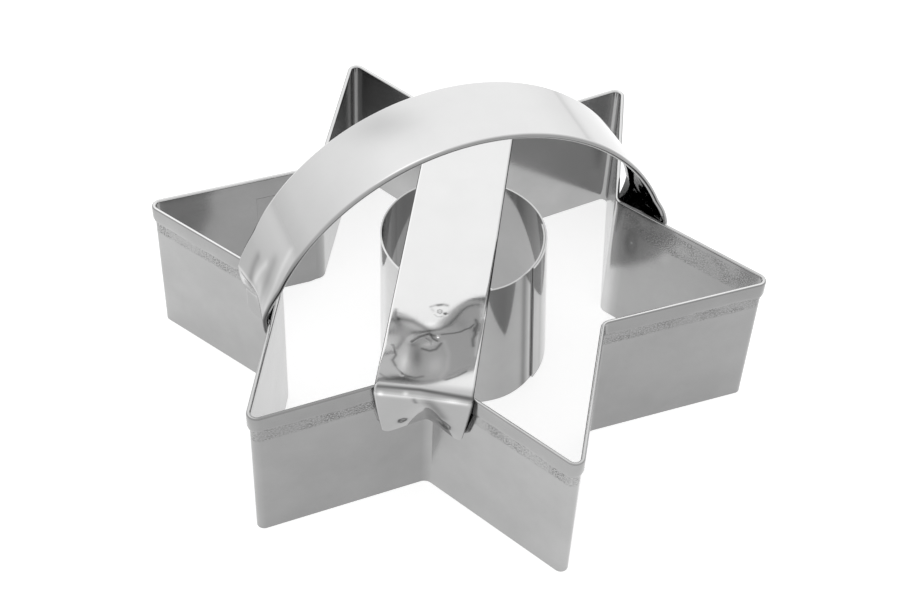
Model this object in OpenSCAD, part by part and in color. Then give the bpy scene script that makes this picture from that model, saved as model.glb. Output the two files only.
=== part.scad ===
// Six-pointed star cookie cutter: a hemmed strip bent to the star, a flat bridge strap across
// it that carries a round centre cutter, and an arched strap as the handle.
// The cutting edges lie on z = 0 and the handle runs along X.

/* [Star] */
// Distance from the middle to the tip of a point
point_r = 50; // [44:0.5:65]
// Distance from the middle to the inside of a valley
valley_r = 28.6; // [26:0.1:34]
// Height of the wall from cutting edge to rim
wall_h = 25.4; // [22:0.1:40]
// Inside bend radius at a point
point_bend_r = 0.9; // [0.5:0.1:3]
// Inside bend radius at a valley
valley_bend_r = 1.9; // [1.5:0.1:3]
// How far the star's cutting edge leans along Y
star_lean = -0.4; // [-1.5:0.1:1.5]
// Share of the hand-forming that shows, where 0 is an even star
hand_forming = 1; // [0:0.1:1]

/* [Sheet] */
// Thickness of the sheet of the star and the ring
sheet_t = 0.3; // [0.25:0.05:0.6]
// Thickness of the sheet of both straps
strap_t = 0.4; // [0.3:0.05:0.6]
// Air left inside a folded hem
hem_gap = 0.1; // [0.1:0.05:0.3]
// Depth of the hem that is folded outward round the rim
rim_hem = 3; // [2:0.1:5]
// Depth of the hems that are folded under along both straps
strap_hem = 2.5; // [1.5:0.1:4]
// Gap between welded faces
weld_gap = 0.05; // [0.02:0.01:0.1]

/* [Seam of the star] */
// Distance from the bend to the outer end of the strip
seam_outer = 1.8; // [1:0.1:4]
// Distance from the bend to the inner end of the strip
seam_inner = 10.4; // [6:0.1:14]
// How far the inner end stops below the rim
seam_drop = 4; // [3.2:0.1:8]
// Width of the slit where the outer end stops
seam_slit = 0.15; // [0.1:0.05:0.4]

/* [Handle] */
// Width of the handle strap
handle_w = 14; // [10:0.5:18]
// Height of the handle above the cutting edge
handle_h = 51.6; // [44:0.1:65]
// Angle that the handle is turned from the X axis
handle_turn = -0.3; // [-3:0.1:3]
// Distance that the handle sits to one side of the middle
handle_side = -0.6; // [-1:0.1:1]
// Lean of the handle's straight legs
handle_lean = 25; // [15:1:35]
// Drop from the rim to the crease of a foot
foot_crease = 0.5; // [0.5:0.1:2]
// Share of the valley's V that a leg already has at its crease
foot_vee = 0.35; // [0:0.05:0.6]
// Length of a foot below its crease
foot_len = 9.8; // [7:0.1:12]
// Corner radius of a foot
foot_corner_r = 5.5; // [1:0.1:6]

/* [Bridge] */
// Width of the bridge strap
bridge_w = 14.8; // [10:0.2:18]
// Distance that the bridge sits to one side of its valleys
bridge_side = 0.3; // [-1:0.1:1]
// Inside radius where the bridge folds down over the rim
bridge_bend_r = 0.3; // [0.2:0.1:1]
// Length of the tab that is folded down outside a valley
tab_len = 10.2; // [7:0.1:13]
// Corner radius of a tab
tab_corner_r = 2; // [1:0.1:5]

/* [Centre ring] */
// Inside diameter of the centre ring at its top
ring_d = 27.5; // [20:0.1:34]
// Offset of the ring from the middle along X
ring_x = 2.2; // [-3:0.1:3]
// Offset of the ring from the middle along Y
ring_y = 0.7; // [-3:0.1:3]
// How much the ring's radius grows towards its cutting edge
ring_flare = 0.7; // [0:0.1:1.5]
// How far the cutting edge of the ring leans along X
ring_lean = 1.1; // [-1.5:0.1:1.5]
// Angle at which the outer end of the ring's strip stops
lap_at = -57; // [-80:1:-30]
// Angle over which the ring's strip overlaps itself
lap_angle = 48; // [20:1:60]
// Air between the two layers of the overlap
lap_gap = 0.05; // [0.05:0.05:0.5]
// How much the ring is flattened where it overlaps
lap_flat = 0.3; // [0:0.1:1]
// Length of the tabs that are folded out under the bridge
ring_tab_len = 11; // [6:0.5:12]

/* [Hidden] */

// Offsets of the twelve corners as they were bent, outward and sideways in hundredths of the
// point radius, anticlockwise from the valley under the handle's right foot; valleys and points
// take turns
bent_off = [
    [1.3, 1.2], [3.4, 4.3], [-1.2, 1.3], [1.0, -1.3],
    [-0.1, -0.1], [0.6, -0.1], [0.1, -0.7], [-1.8, 1.5],
    [-0.7, 0.8], [-1.0, -1.7], [-0.3, 1.1], [1.0, 0.3]
];
corners = len(bent_off);
hundredth = hand_forming * point_r / 100;
// Middle of the even star, which leaves the bent star's box centred on the origin
star_mid = hundredth * [-0.2, -0.96];
full_turn = 360;
handle_right = 0;
bridge_back = 2;
seam_valley = 4;
handle_left = 6;
bridge_front = 8;

hem_t = 2 * sheet_t + hem_gap;
fold_r = hem_t / 2;
strap_hem_t = 2 * strap_t + hem_gap;
strap_fold_r = strap_hem_t / 2;
rim_hem_z = wall_h - rim_hem;

// How finely bends, straps and feet are divided
bend_steps = 6;
fold_steps = 4;
strap_steps = 12;
arch_steps = 30;
leg_steps = 4;
foot_steps = 9;
ring_step = 4;

// Height over which a foot leans in from the hem to the wall below it
lean_h = 3;
// Share of a foot's length over which it goes from flat to the valley's V
vee_share = 0.6;
// Softness of the V in the middle of a foot
vee_r = 0.4;
// How far solids of one sheet run into each other
sunk = 0.02;
// Pressed edge of the rim hem: its height, and the share of the sheet left at its end
lip_h = 0.6;
lip_share = 0.4;

function dir(a) = [cos(a), sin(a)];
function unit(v) = v / norm(v);
function left(d) = [-d[1], d[0]];
function right(d) = [d[1], -d[0]];
function mix(a, b, t) = a + (b - a) * t;
function ease(t) = let (c = min(max(t, 0), 1)) c * c * (3 - 2 * c);
function soft_max(a, b, r) = (a + b) / 2 + sqrt(pow((a - b) / 2, 2) + r * r);

// Where a point of the upright star comes to lie when its cutting edge leans
function leaned(p) = [p[0], p[1] + star_lean * max(0, 1 - p[2] / wall_h), p[2]];

// Corners of the star on the inside face of the wall
function corner(k) =
    let (
        i = (k + corners) % corners,
        u = dir(full_turn / corners * i),
        off = hundredth * bent_off[i],
        r = i % 2 == 0 ? valley_r : point_r
    )
    star_mid + (r + off[0]) * u + off[1] * left(u);

// Wall k runs from corner k to the next one anticlockwise
function wall_dir(k) = unit(corner(k + 1) - corner(k));
function wall_out(k) = right(wall_dir(k));
function wall_point(k, along, out) = corner(k) + along * wall_dir(k) + out * wall_out(k);

function bend_r(k) = k % 2 == 0 ? valley_bend_r : point_bend_r;

// Length of wall that a bend takes on each side of its corner
function bend_take(k) =
    let (half = acos(-wall_dir(k - 1) * wall_dir(k)) / 2) bend_r(k) / tan(half);

// Points of the bend at corner k, on the inside face
function bend(k) =
    let (
        back = -wall_dir(k - 1),
        ahead = wall_dir(k),
        half = acos(back * ahead) / 2,
        centre = corner(k) + unit(back + ahead) * bend_r(k) / sin(half),
        from = corner(k) + back * bend_take(k) - centre,
        turn = (180 - 2 * half) * sign(cross(-back, ahead))
    )
    [for (i = [0:bend_steps]) centre + bend_r(k) * dir(atan2(from[1], from[0]) + turn * i / bend_steps)];

seam_start = bend_take(seam_valley) + seam_outer;
star_path = [
    wall_point(seam_valley, seam_start, 0),
    for (k = [seam_valley + 1:seam_valley + corners]) each bend(k),
    wall_point(seam_valley, seam_start - seam_slit, 0)
];

// Outward step at point i of a path that makes a wall of even thickness
function miter(path, i) =
    let (
        last = len(path) - 1,
        before = right(unit(path[max(i, 1)] - path[max(i, 1) - 1])),
        after = right(unit(path[min(i, last - 1) + 1] - path[min(i, last - 1)]))
    )
    (before + after) / (1 + before * after);

// Section of the hemmed wall as pairs of points on the two faces of the sheet: up the wall,
// round the fold and down to the pressed edge of the hem
rim_section = [
    [[0, 0], [sheet_t, 0]],
    for (i = [0:bend_steps])
        let (a = 180 - 180 * i / bend_steps, c = [fold_r, wall_h - fold_r])
            [c + fold_r * dir(a), c + hem_gap / 2 * dir(a)],
    [[hem_t, rim_hem_z + lip_h], [hem_t - sheet_t, rim_hem_z + lip_h]],
    [[hem_t - sheet_t * (1 - lip_share), rim_hem_z], [hem_t - sheet_t, rim_hem_z]]
];

// Section of a hemmed strap as pairs of points, across it and up from the under side:
// along the left hem, round its fold, over the strap and round to the right hem
function strap_section(w) =
    let (edge = w / 2 - strap_fold_r)
    [
        [[strap_hem - w / 2, 0], [strap_hem - w / 2, strap_t]],
        for (i = [0:fold_steps])
            let (a = 270 - 180 * i / fold_steps, c = [-edge, strap_fold_r])
                [c + strap_fold_r * dir(a), c + hem_gap / 2 * dir(a)],
        for (i = [1:strap_steps - 1])
            let (v = mix(-edge, edge, i / strap_steps)) [[v, strap_hem_t], [v, strap_hem_t - strap_t]],
        for (i = [0:fold_steps])
            let (a = 90 - 180 * i / fold_steps, c = [edge, strap_fold_r])
                [c + strap_fold_r * dir(a), c + hem_gap / 2 * dir(a)],
        [[w / 2 - strap_hem, 0], [w / 2 - strap_hem, strap_t]]
    ];

// A bent sheet, from two grids of points that lie opposite each other on its faces
module bent_sheet(a, b) {
    rows = len(a);
    cols = len(a[0]);
    other = rows * cols;
    function at(i, j) = i * cols + j;
    function quad(p, q, r, s) = [[p, r, q], [p, s, r]];
    polyhedron(
        points = [for (g = [a, b]) for (row = g) each row],
        faces = [
            for (i = [0:rows - 2]) for (j = [0:cols - 2]) each concat(
                quad(at(i, j), at(i, j + 1), at(i + 1, j + 1), at(i + 1, j)),
                quad(other + at(i, j), other + at(i + 1, j), other + at(i + 1, j + 1), other + at(i, j + 1))
            ),
            for (i = [0:rows - 2]) each concat(
                quad(at(i, 0), at(i + 1, 0), other + at(i + 1, 0), other + at(i, 0)),
                quad(at(i, cols - 1), other + at(i, cols - 1), other + at(i + 1, cols - 1), at(i + 1, cols - 1))
            ),
            for (j = [0:cols - 2]) each concat(
                quad(at(0, j), other + at(0, j), other + at(0, j + 1), at(0, j + 1)),
                quad(at(rows - 1, j), at(rows - 1, j + 1), other + at(rows - 1, j + 1), other + at(rows - 1, j))
            )
        ]
    );
}

// A foot is a strap's end that hangs outside a valley, folded from flat into the valley's V.
// A strap's line is its point nearest the middle and its outward direction at that foot; s runs
// across the strap, v across the line and h up from the under side; vee is the share of the V.
// How far out along a strap's line the face of wall k lies, out from its inside face
function wall_reach(k, line, v, out) =
    let (n = wall_out(k), from = line[0] + v * left(line[1]) - corner(k)) (out - from * n) / (line[1] * n);

function valley_reach(k, line, v, out) =
    soft_max(wall_reach(k - 1, line, v, out), wall_reach(k, line, v, out), vee_r);

// Where s comes to lie across the line when the strap turns into the V without stretching
function squeeze(k, line, s, vee) =
    s * mix(1, abs(wall_dir(s > 0 ? k : k - 1) * left(line[1])), vee);

// How far out the flat strap hangs, so that its edges clear the rim
function hang_out(k, line, w, vee) =
    let (a = squeeze(k, line, -w / 2, vee), b = squeeze(k, line, w / 2, vee), clear = hem_t + 2 * weld_gap)
    max(wall_reach(k - 1, line, a, clear), wall_reach(k - 1, line, b, clear),
        wall_reach(k, line, a, clear), wall_reach(k, line, b, clear));

// Height of a foot at s across it: the middle is drawn up as it is pushed into the valley, and
// the corners are round
function foot_drop(k, line, s, w, out, length, corner_r) =
    let (
        inward = out - valley_reach(k, line, squeeze(k, line, s, 1), sheet_t + weld_gap),
        into_corner = max(0, abs(s) - (w / 2 - corner_r))
    )
    sqrt(length * length - inward * inward) - corner_r + sqrt(corner_r * corner_r - into_corner * into_corner);

// Point of a foot at share t of the way down from z_top
function foot_point(k, line, s, h, t, w, out, vee_top, z_top, length, corner_r) =
    let (
        z = z_top - t * foot_drop(k, line, s, w, out, length, corner_r),
        vee = mix(vee_top, 1, ease(t / vee_share)),
        v = squeeze(k, line, s, vee),
        off = mix(hem_t, sheet_t, ease((rim_hem_z - z) / lean_h)) + weld_gap
    )
    leaned(line_point(line, v, mix(out + h, valley_reach(k, line, v, off + h), vee), z));

// Point that lies u out and z up on a strap's line
function line_point(line, v, u, z) = let (p = line[0] + v * left(line[1]) + u * line[1]) [p[0], p[1], z];

handle_dir = dir(handle_turn);
handle_mid = handle_side * left(handle_dir);
handle_lines = [[handle_mid, handle_dir], [handle_mid, -handle_dir]];
handle_valleys = [handle_right, handle_left];
handle_outs = [for (i = [0, 1]) hang_out(handle_valleys[i], handle_lines[i], handle_w, foot_vee)];

// The handle's under side is one arc between straight legs that lean in from the creases
crease_z = wall_h - foot_crease;
handle_half = (handle_outs[0] + handle_outs[1]) / 2;
handle_rise = handle_h - strap_hem_t - crease_z;
handle_r = (handle_half - handle_rise * tan(handle_lean)) * cos(handle_lean) / (1 - sin(handle_lean));
handle_cx = (handle_outs[0] - handle_outs[1]) / 2;
handle_cz = handle_h - strap_hem_t - handle_r;
leg_len = (handle_rise - handle_r * (1 - sin(handle_lean))) / cos(handle_lean);

function handle_arc(v, h, a) =
    line_point(handle_lines[0], v, handle_cx + (handle_r + h) * cos(a), handle_cz + (handle_r + h) * sin(a));

// Point of a leg at share t of the way down from the arc to the crease
function handle_leg(side, s, h, t) =
    let (
        k = handle_valleys[side],
        line = handle_lines[side],
        vee = foot_vee * ease(t),
        v = squeeze(k, line, s, vee),
        c = (side == 0 ? handle_cx : -handle_cx) + handle_r * cos(handle_lean),
        flat = c + t * leg_len * sin(handle_lean) + h * cos(handle_lean),
        z = handle_cz + (handle_r + h) * sin(handle_lean) - t * leg_len * cos(handle_lean)
    )
    line_point(line, v, mix(flat, valley_reach(k, line, v, hem_t + weld_gap + h), vee), z);

function handle_foot(side, s, h, t) =
    foot_point(
        handle_valleys[side],
        handle_lines[side],
        s,
        h,
        t,
        handle_w,
        handle_outs[side],
        foot_vee,
        crease_z + h * tan(handle_lean / 2) * (1 - t),
        foot_len,
        foot_corner_r
    );

function handle_grid(face) =
    let (section = strap_section(handle_w))
    [
        for (i = [0:foot_steps]) [for (s = section) handle_foot(0, s[face][0], s[face][1], 1 - i / foot_steps)],
        for (i = [1:leg_steps - 1]) [for (s = section) handle_leg(0, s[face][0], s[face][1], 1 - i / leg_steps)],
        for (i = [0:arch_steps])
            [for (s = section)
                handle_arc(s[face][0], s[face][1], mix(handle_lean, 180 - handle_lean, i / arch_steps))],
        for (i = [1:leg_steps - 1]) [for (s = section) handle_leg(1, -s[face][0], s[face][1], i / leg_steps)],
        for (i = [0:foot_steps]) [for (s = section) handle_foot(1, -s[face][0], s[face][1], i / foot_steps)]
    ];

// The bridge runs from valley to valley, a little to one side of the line between them
bridge_dir = unit(corner(bridge_back) - corner(bridge_front));
bridge_mid =
    let (p = corner(bridge_front)) p - (p * bridge_dir) * bridge_dir + bridge_side * left(bridge_dir);
bridge_lines = [[bridge_mid, bridge_dir], [bridge_mid, -bridge_dir]];
bridge_valleys = [bridge_back, bridge_front];
bridge_outs = [for (i = [0, 1]) hang_out(bridge_valleys[i], bridge_lines[i], bridge_w, 0)];
bridge_z = wall_h + weld_gap;

function bridge_foot(side, s, h, t) =
    foot_point(
        bridge_valleys[side],
        bridge_lines[side],
        s,
        h,
        t,
        bridge_w,
        bridge_outs[side],
        0,
        bridge_z - bridge_bend_r,
        tab_len - bridge_bend_r,
        tab_corner_r
    );

// Point of the fold over the rim, where a is 90 on the flat strap and 0 at the tab
function bridge_fold(side, s, h, a) =
    line_point(
        bridge_lines[side],
        s,
        bridge_outs[side] - bridge_bend_r + (bridge_bend_r + h) * cos(a),
        bridge_z - bridge_bend_r + (bridge_bend_r + h) * sin(a)
    );

function bridge_grid(face) =
    let (section = strap_section(bridge_w))
    [
        for (i = [0:foot_steps - 1])
            [for (s = section) bridge_foot(0, s[face][0], s[face][1], 1 - i / foot_steps)],
        for (i = [0:fold_steps]) [for (s = section) bridge_fold(0, s[face][0], s[face][1], 90 * i / fold_steps)],
        for (i = [0:fold_steps])
            [for (s = section) bridge_fold(1, -s[face][0], s[face][1], 90 - 90 * i / fold_steps)],
        for (i = [1:foot_steps]) [for (s = section) bridge_foot(1, -s[face][0], s[face][1], i / foot_steps)]
    ];

// The ring's strip springs inward where it runs under its own outer end
ring_r = ring_d / 2;
ring_top = bridge_z - weld_gap;
ring_spring = sheet_t + lap_gap;
inner_end = lap_at + lap_angle;
outer_end = lap_at - full_turn;
ring_angles = [for (a = [inner_end:-ring_step:outer_end]) a, outer_end];
// Angles over which the strip eases out from under the lap, and into the flattened part
spring_ease = 30;
flat_ease = 60;

function ring_flat(a) = lap_flat * ease(1 - acos(cos(a - lap_at - lap_angle / 2)) / flat_ease);

// Point of the ring's strip at angle a, h out from its inside face and z up
function ring_point(a, h, z) =
    let (
        down = 1 - z / ring_top,
        sprung = ring_spring * (1 - ease((lap_at - a) / spring_ease)),
        r = ring_r - ring_flat(a) - sprung + ring_flare * down + h
    )
    [ring_x + ring_lean * down + r * cos(a), ring_y + r * sin(a), z];

// A ring tab fits between the bridge's hems with room on both sides; it is a little thinner than
// the sheet so that its root lies inside the ring's wall
ring_tab_room = 0.2;
ring_tab_w = bridge_w - 2 * (strap_hem + ring_tab_room);
ring_tab_t = sheet_t - 2 * sunk;
ring_tab_top = bridge_z + strap_t + hem_gap - weld_gap;
ring_tab_bend_r = 0.1;
ring_tab_root = 1;

// Point of a ring tab: at angle a of the ring's wall, then e out along the bridge's direction d
function ring_tab_point(d, a, e, z) =
    let (p = ring_point(a, sheet_t - sunk, ring_top)) [p[0] + e * d[0], p[1] + e * d[1], z];

function ring_tab_end(d, a) =
    let (p = ring_point(a, 0, ring_top)) ring_r + ring_tab_len - ([p[0] - ring_x, p[1] - ring_y] * d);

// Edge of a ring tab from its root in the wall to its end; face 0 turns toward the bridge
function ring_tab_edge(d, a, face) =
    let (r = ring_tab_bend_r + (1 - face) * ring_tab_t, z = ring_tab_top - ring_tab_t - ring_tab_bend_r)
    [
        ring_point(a, sunk + face * ring_tab_t, ring_top - ring_tab_root),
        for (turn = [180, 135, 90])
            ring_tab_point(d, a, ring_tab_bend_r + r * cos(turn), z + r * sin(turn)),
        ring_tab_point(d, a, ring_tab_end(d, a), z + r)
    ];

module star_wall() {
    color("silver") {
        bent_sheet(
            [for (i = [0:len(star_path) - 1]) [for (s = rim_section)
                let (p = star_path[i] + s[0][0] * miter(star_path, i)) leaned([p[0], p[1], s[0][1]])]],
            [for (i = [0:len(star_path) - 1]) [for (s = rim_section)
                let (p = star_path[i] + s[1][0] * miter(star_path, i)) leaned([p[0], p[1], s[1][1]])]]
        );
        seam_tongue();
    }
}

// The inner end of the star's strip, which steps in behind the outer end and is welded to it
module seam_tongue() {
    from = bend_take(seam_valley);
    multmatrix([[1, 0, 0, 0], [0, 1, -star_lean / wall_h, star_lean], [0, 0, 1, 0]])
        linear_extrude(wall_h - seam_drop) polygon([
            wall_point(seam_valley, from, sheet_t / 4),
            wall_point(seam_valley, seam_start - sheet_t, sunk - sheet_t),
            wall_point(seam_valley, from + seam_inner, sunk - sheet_t),
            wall_point(seam_valley, from + seam_inner, sunk),
            wall_point(seam_valley, seam_start - seam_slit / 2, sunk),
            wall_point(seam_valley, from, sheet_t * 3 / 4)
        ]);
}

module handle_strap() {
    color("gainsboro") bent_sheet(handle_grid(0), handle_grid(1));
}

module bridge_strap() {
    color("whitesmoke") bent_sheet(bridge_grid(0), bridge_grid(1));
}

module centre_ring() {
    color("lightgray") {
        bent_sheet(
            [for (a = ring_angles) [ring_point(a, sheet_t, 0), ring_point(a, sheet_t, ring_top)]],
            [for (a = ring_angles) [ring_point(a, 0, 0), ring_point(a, 0, ring_top)]]
        );
        for (d = [bridge_dir, -bridge_dir]) ring_tab(d);
    }
}

// A tab of the ring that bends out under the bridge, between the bridge's own hems
module ring_tab(d) {
    at = atan2(d[1], d[0]);
    along = at > inner_end ? at - full_turn : at;
    side = ([ring_x, ring_y] - bridge_mid) * left(d);
    from = along + asin((-ring_tab_w / 2 - side) / ring_r);
    to = along + asin((ring_tab_w / 2 - side) / ring_r);
    steps = ceil((to - from) / ring_step);
    angles = [for (i = [0:steps]) mix(from, to, i / steps)];
    bent_sheet(
        [for (a = angles) ring_tab_edge(d, a, 0)],
        [for (a = angles) ring_tab_edge(d, a, 1)]
    );
}

star_wall();
handle_strap();
bridge_strap();
centre_ring();
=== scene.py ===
"""Star cookie cutter: a hemmed star wall, a bridge strap that carries the centre ring, and an arched handle."""

import cmath
import math
from types import SimpleNamespace

import bmesh
import bpy
import numpy as np
from mathutils import Matrix, Vector


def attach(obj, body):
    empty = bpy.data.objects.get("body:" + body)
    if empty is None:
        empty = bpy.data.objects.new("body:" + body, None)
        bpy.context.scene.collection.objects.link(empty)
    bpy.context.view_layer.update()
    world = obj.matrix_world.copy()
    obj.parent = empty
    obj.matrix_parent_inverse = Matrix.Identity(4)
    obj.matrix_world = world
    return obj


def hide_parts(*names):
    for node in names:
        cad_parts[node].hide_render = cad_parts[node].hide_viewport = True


bl_info = {
    "name": "Star cookie cutter",
    "version": (1, 0, 0),
    "blender": (4, 5, 0),
    "location": "View3D > Sidebar > Cutter",
    "description": "Builds a sheet-steel star cookie cutter around its packed solids",
    "category": "Add Mesh",
}

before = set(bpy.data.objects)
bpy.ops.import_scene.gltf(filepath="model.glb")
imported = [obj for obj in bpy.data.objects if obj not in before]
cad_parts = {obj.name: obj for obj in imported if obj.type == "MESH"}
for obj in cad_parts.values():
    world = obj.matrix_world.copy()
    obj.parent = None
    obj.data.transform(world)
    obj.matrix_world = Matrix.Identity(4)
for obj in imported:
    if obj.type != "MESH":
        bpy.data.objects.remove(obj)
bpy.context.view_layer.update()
MM = 0.001
LOOK_GROUPS = ("sheet", "star", "handle", "bridge", "ring", "steel", "studio")

# Offsets of the twelve corners as they were bent, outward and sideways in hundredths of the point
# radius, anticlockwise from the valley under the handle's right foot; valleys and points take turns
BENT_OFFSETS = (
    (1.3, 1.2), (3.4, 4.3), (-1.2, 1.3), (1.0, -1.3),
    (-0.1, -0.1), (0.6, -0.1), (0.1, -0.7), (-1.8, 1.5),
    (-0.7, 0.8), (-1.0, -1.7), (-0.3, 1.1), (1.0, 0.3),
)
# The star's middle, in hundredths of the point radius
STAR_MID = -0.2 - 0.96j
CORNERS = len(BENT_OFFSETS)
# Corners that the straps' feet stand in, and the one whose wall holds the strip's two ends
HANDLE_RIGHT, BRIDGE_BACK, SEAM_VALLEY, HANDLE_LEFT, BRIDGE_FRONT = 0, 2, 4, 6, 8


def length(name, millimetres, description):
    """A length that a user may change, kept in metres."""
    return bpy.props.FloatProperty(
        name=name, description=description, default=millimetres * MM, unit="LENGTH", precision=5
    )


def angle(name, degrees, description):
    """An angle that a user may change, kept in radians."""
    return bpy.props.FloatProperty(
        name=name, description=description, default=math.radians(degrees), unit="ROTATION"
    )


def share(name, value, description):
    """A plain share or strength that a user may change."""
    return bpy.props.FloatProperty(name=name, description=description, default=value, precision=3)


def tone(name, grey, description):
    """A neutral colour that a user may change."""
    return bpy.props.FloatVectorProperty(
        name=name, description=description, default=(grey, grey, grey), subtype="COLOR", min=0, max=1
    )


class CutterSheet(bpy.types.PropertyGroup):
    """Sizes of the sheet and its hems."""

    sheet_t: length("Sheet thickness", 0.3, "Thickness of the sheet of the star and the ring")
    strap_t: length("Strap thickness", 0.4, "Thickness of the sheet of both straps")
    hem_gap: length("Hem gap", 0.1, "Air left inside a folded hem")
    rim_hem: length("Rim hem", 3, "Depth of the hem that is folded outward round the rim")
    strap_hem: length("Strap hem", 2.5, "Depth of the hems that are folded under along both straps")
    weld_gap: length("Weld gap", 0.05, "Gap between welded faces")
    lip_h: length("Hem lip", 0.6, "Height of the pressed edge of the rim hem")
    lip_share: share("Lip share", 0.4, "Share of the sheet that is left at the hem's pressed edge")


class CutterStar(bpy.types.PropertyGroup):
    """Sizes of the star wall."""

    point_r: length("Point radius", 50, "Distance from the middle to the tip of a point")
    valley_r: length("Valley radius", 28.6, "Distance from the middle to the inside of a valley")
    wall_h: length("Wall height", 25.4, "Height of the wall from cutting edge to rim")
    point_bend_r: length("Point bend", 0.9, "Inside bend radius at a point")
    valley_bend_r: length("Valley bend", 1.9, "Inside bend radius at a valley")
    lean: length("Lean", -0.4, "How far the cutting edge leans along Y")
    forming: share("Hand forming", 1.0, "Share of the hand-forming that shows")
    seam_outer: length("Seam, outer end", 1.8, "Distance from the bend to the outer end of the strip")
    seam_inner: length("Seam, inner end", 10.4, "Distance from the bend to the inner end of the strip")
    seam_drop: length("Seam drop", 4, "How far the inner end stops below the rim")
    seam_slit: length("Seam slit", 0.15, "Width of the slit where the outer end stops")
    hem_waver: length("Hem waver", 0.16, "How far the hem's lower edge wavers up and down")


class CutterHandle(bpy.types.PropertyGroup):
    """Sizes of the arched handle strap."""

    width: length("Width", 14, "Width of the handle strap")
    height: length("Height", 51.6, "Height of the handle above the cutting edge")
    turn: angle("Turn", -0.3, "Angle that the handle is turned from the X axis")
    side: length("Side", -0.6, "Distance that the handle sits to one side of the middle")
    lean: angle("Lean", 25, "Lean of the handle's straight legs")
    foot_crease: length("Foot crease", 0.5, "Drop from the rim to the crease of a foot")
    foot_vee: share("Foot V", 0.35, "Share of the valley's V that a leg already has at its crease")
    foot_len: length("Foot length", 9.8, "Length of a foot below its crease")
    foot_corner_r: length("Foot corner", 5.5, "Corner radius of a foot")


class CutterBridge(bpy.types.PropertyGroup):
    """Sizes of the bridge strap."""

    width: length("Width", 14.8, "Width of the bridge strap")
    side: length("Side", 0.3, "Distance that the bridge sits to one side of its valleys")
    bend_r: length("Bend", 0.3, "Inside radius where the bridge folds down over the rim")
    tab_len: length("Tab length", 10.2, "Length of the tab that is folded down outside a valley")
    tab_corner_r: length("Tab corner", 2, "Corner radius of a tab")


class CutterRing(bpy.types.PropertyGroup):
    """Sizes of the centre ring."""

    diameter: length("Diameter", 27.5, "Inside diameter of the ring at its top")
    middle_x: length("Middle X", 2.2, "Offset of the ring from the middle along X")
    middle_y: length("Middle Y", 0.7, "Offset of the ring from the middle along Y")
    flare: length("Flare", 0.7, "How much the radius grows towards the cutting edge")
    lean: length("Lean", 1.1, "How far the cutting edge leans along X")
    lap_at: angle("Lap end", -57, "Angle at which the outer end of the strip stops")
    lap_angle: angle("Lap", 48, "Angle over which the strip overlaps itself")
    lap_gap: length("Lap gap", 0.05, "Air between the two layers of the overlap")
    lap_flat: length("Lap flat", 0.3, "How much the ring is flattened where it overlaps")
    tab_len: length("Tab length", 11, "Length of the tabs that are folded out under the bridge")


class CutterSteel(bpy.types.PropertyGroup):
    """Finishes of the sheet steel."""

    satin: tone("Satin steel", 0.385, "Colour of the satin star wall")
    satin_rough: share("Satin roughness", 0.15, "Roughness of the star wall")
    bright: tone("Polished steel", 0.6, "Colour of the polished straps")
    bright_rough: share("Polished roughness", 0.08, "Roughness of the polished straps")
    rolled: tone("Rolled ring", 0.45, "Colour of the rolled ring")
    rolled_rough: share("Ring roughness", 0.09, "Roughness of the rolled ring")
    hem_press: share("Hem press marks", 0.55, "Strength of the marks that the press left below the hem")


class CutterStudio(bpy.types.PropertyGroup):
    """Camera, floor and lamps."""

    bearing: angle("Bearing", 24.2046, "Direction of view, clockwise from the Y axis")
    down: angle("Down", 44.4766, "Angle of view below the horizon")
    roll: angle("Roll", 3.2517, "Roll of the camera")
    camera_x: length("Camera X", -79.773, "Place of the camera along X")
    camera_y: length("Camera Y", -177.353, "Place of the camera along Y")
    camera_z: length("Camera Z", 202.583, "Height of the camera")
    lens: share("Lens", 65.017, "Focal length for a 36 mm wide sensor, in millimetres")
    floor_r: length("Floor radius", 1500, "Radius of the round floor")
    floor: tone("Floor", 0.6, "Colour of the pale floor")
    world: share("World", 0.7, "Strength of the world's light on what isn't seen or mirrored")
    key: share("Key lamp", 0.4, "Power of the wide lamp above, in watts")


def in_mm(group):
    """The group's sizes as plain numbers: lengths in millimetres, angles in radians."""
    values = {}
    for name, prop in group.bl_rna.properties.items():
        if name not in ("rna_type", "name"):
            value = getattr(group, name)
            values[name] = value / MM if prop.unit == "LENGTH" else value
    return SimpleNamespace(**values)


def sizes():
    """All property groups of the scene as plain numbers."""
    scene = bpy.context.scene
    return SimpleNamespace(**{name: in_mm(getattr(scene, "cutter_" + name)) for name in LOOK_GROUPS})


# Plan geometry. A point in plan is a complex number in mm, and a direction is one of length 1.
def unit(v):
    return v / abs(v)


def dot(a, b):
    return (a.conjugate() * b).real


def mix(a, b, t):
    return a + (b - a) * t


def ease(t):
    c = min(max(t, 0.0), 1.0)
    return c * c * (3 - 2 * c)


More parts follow.
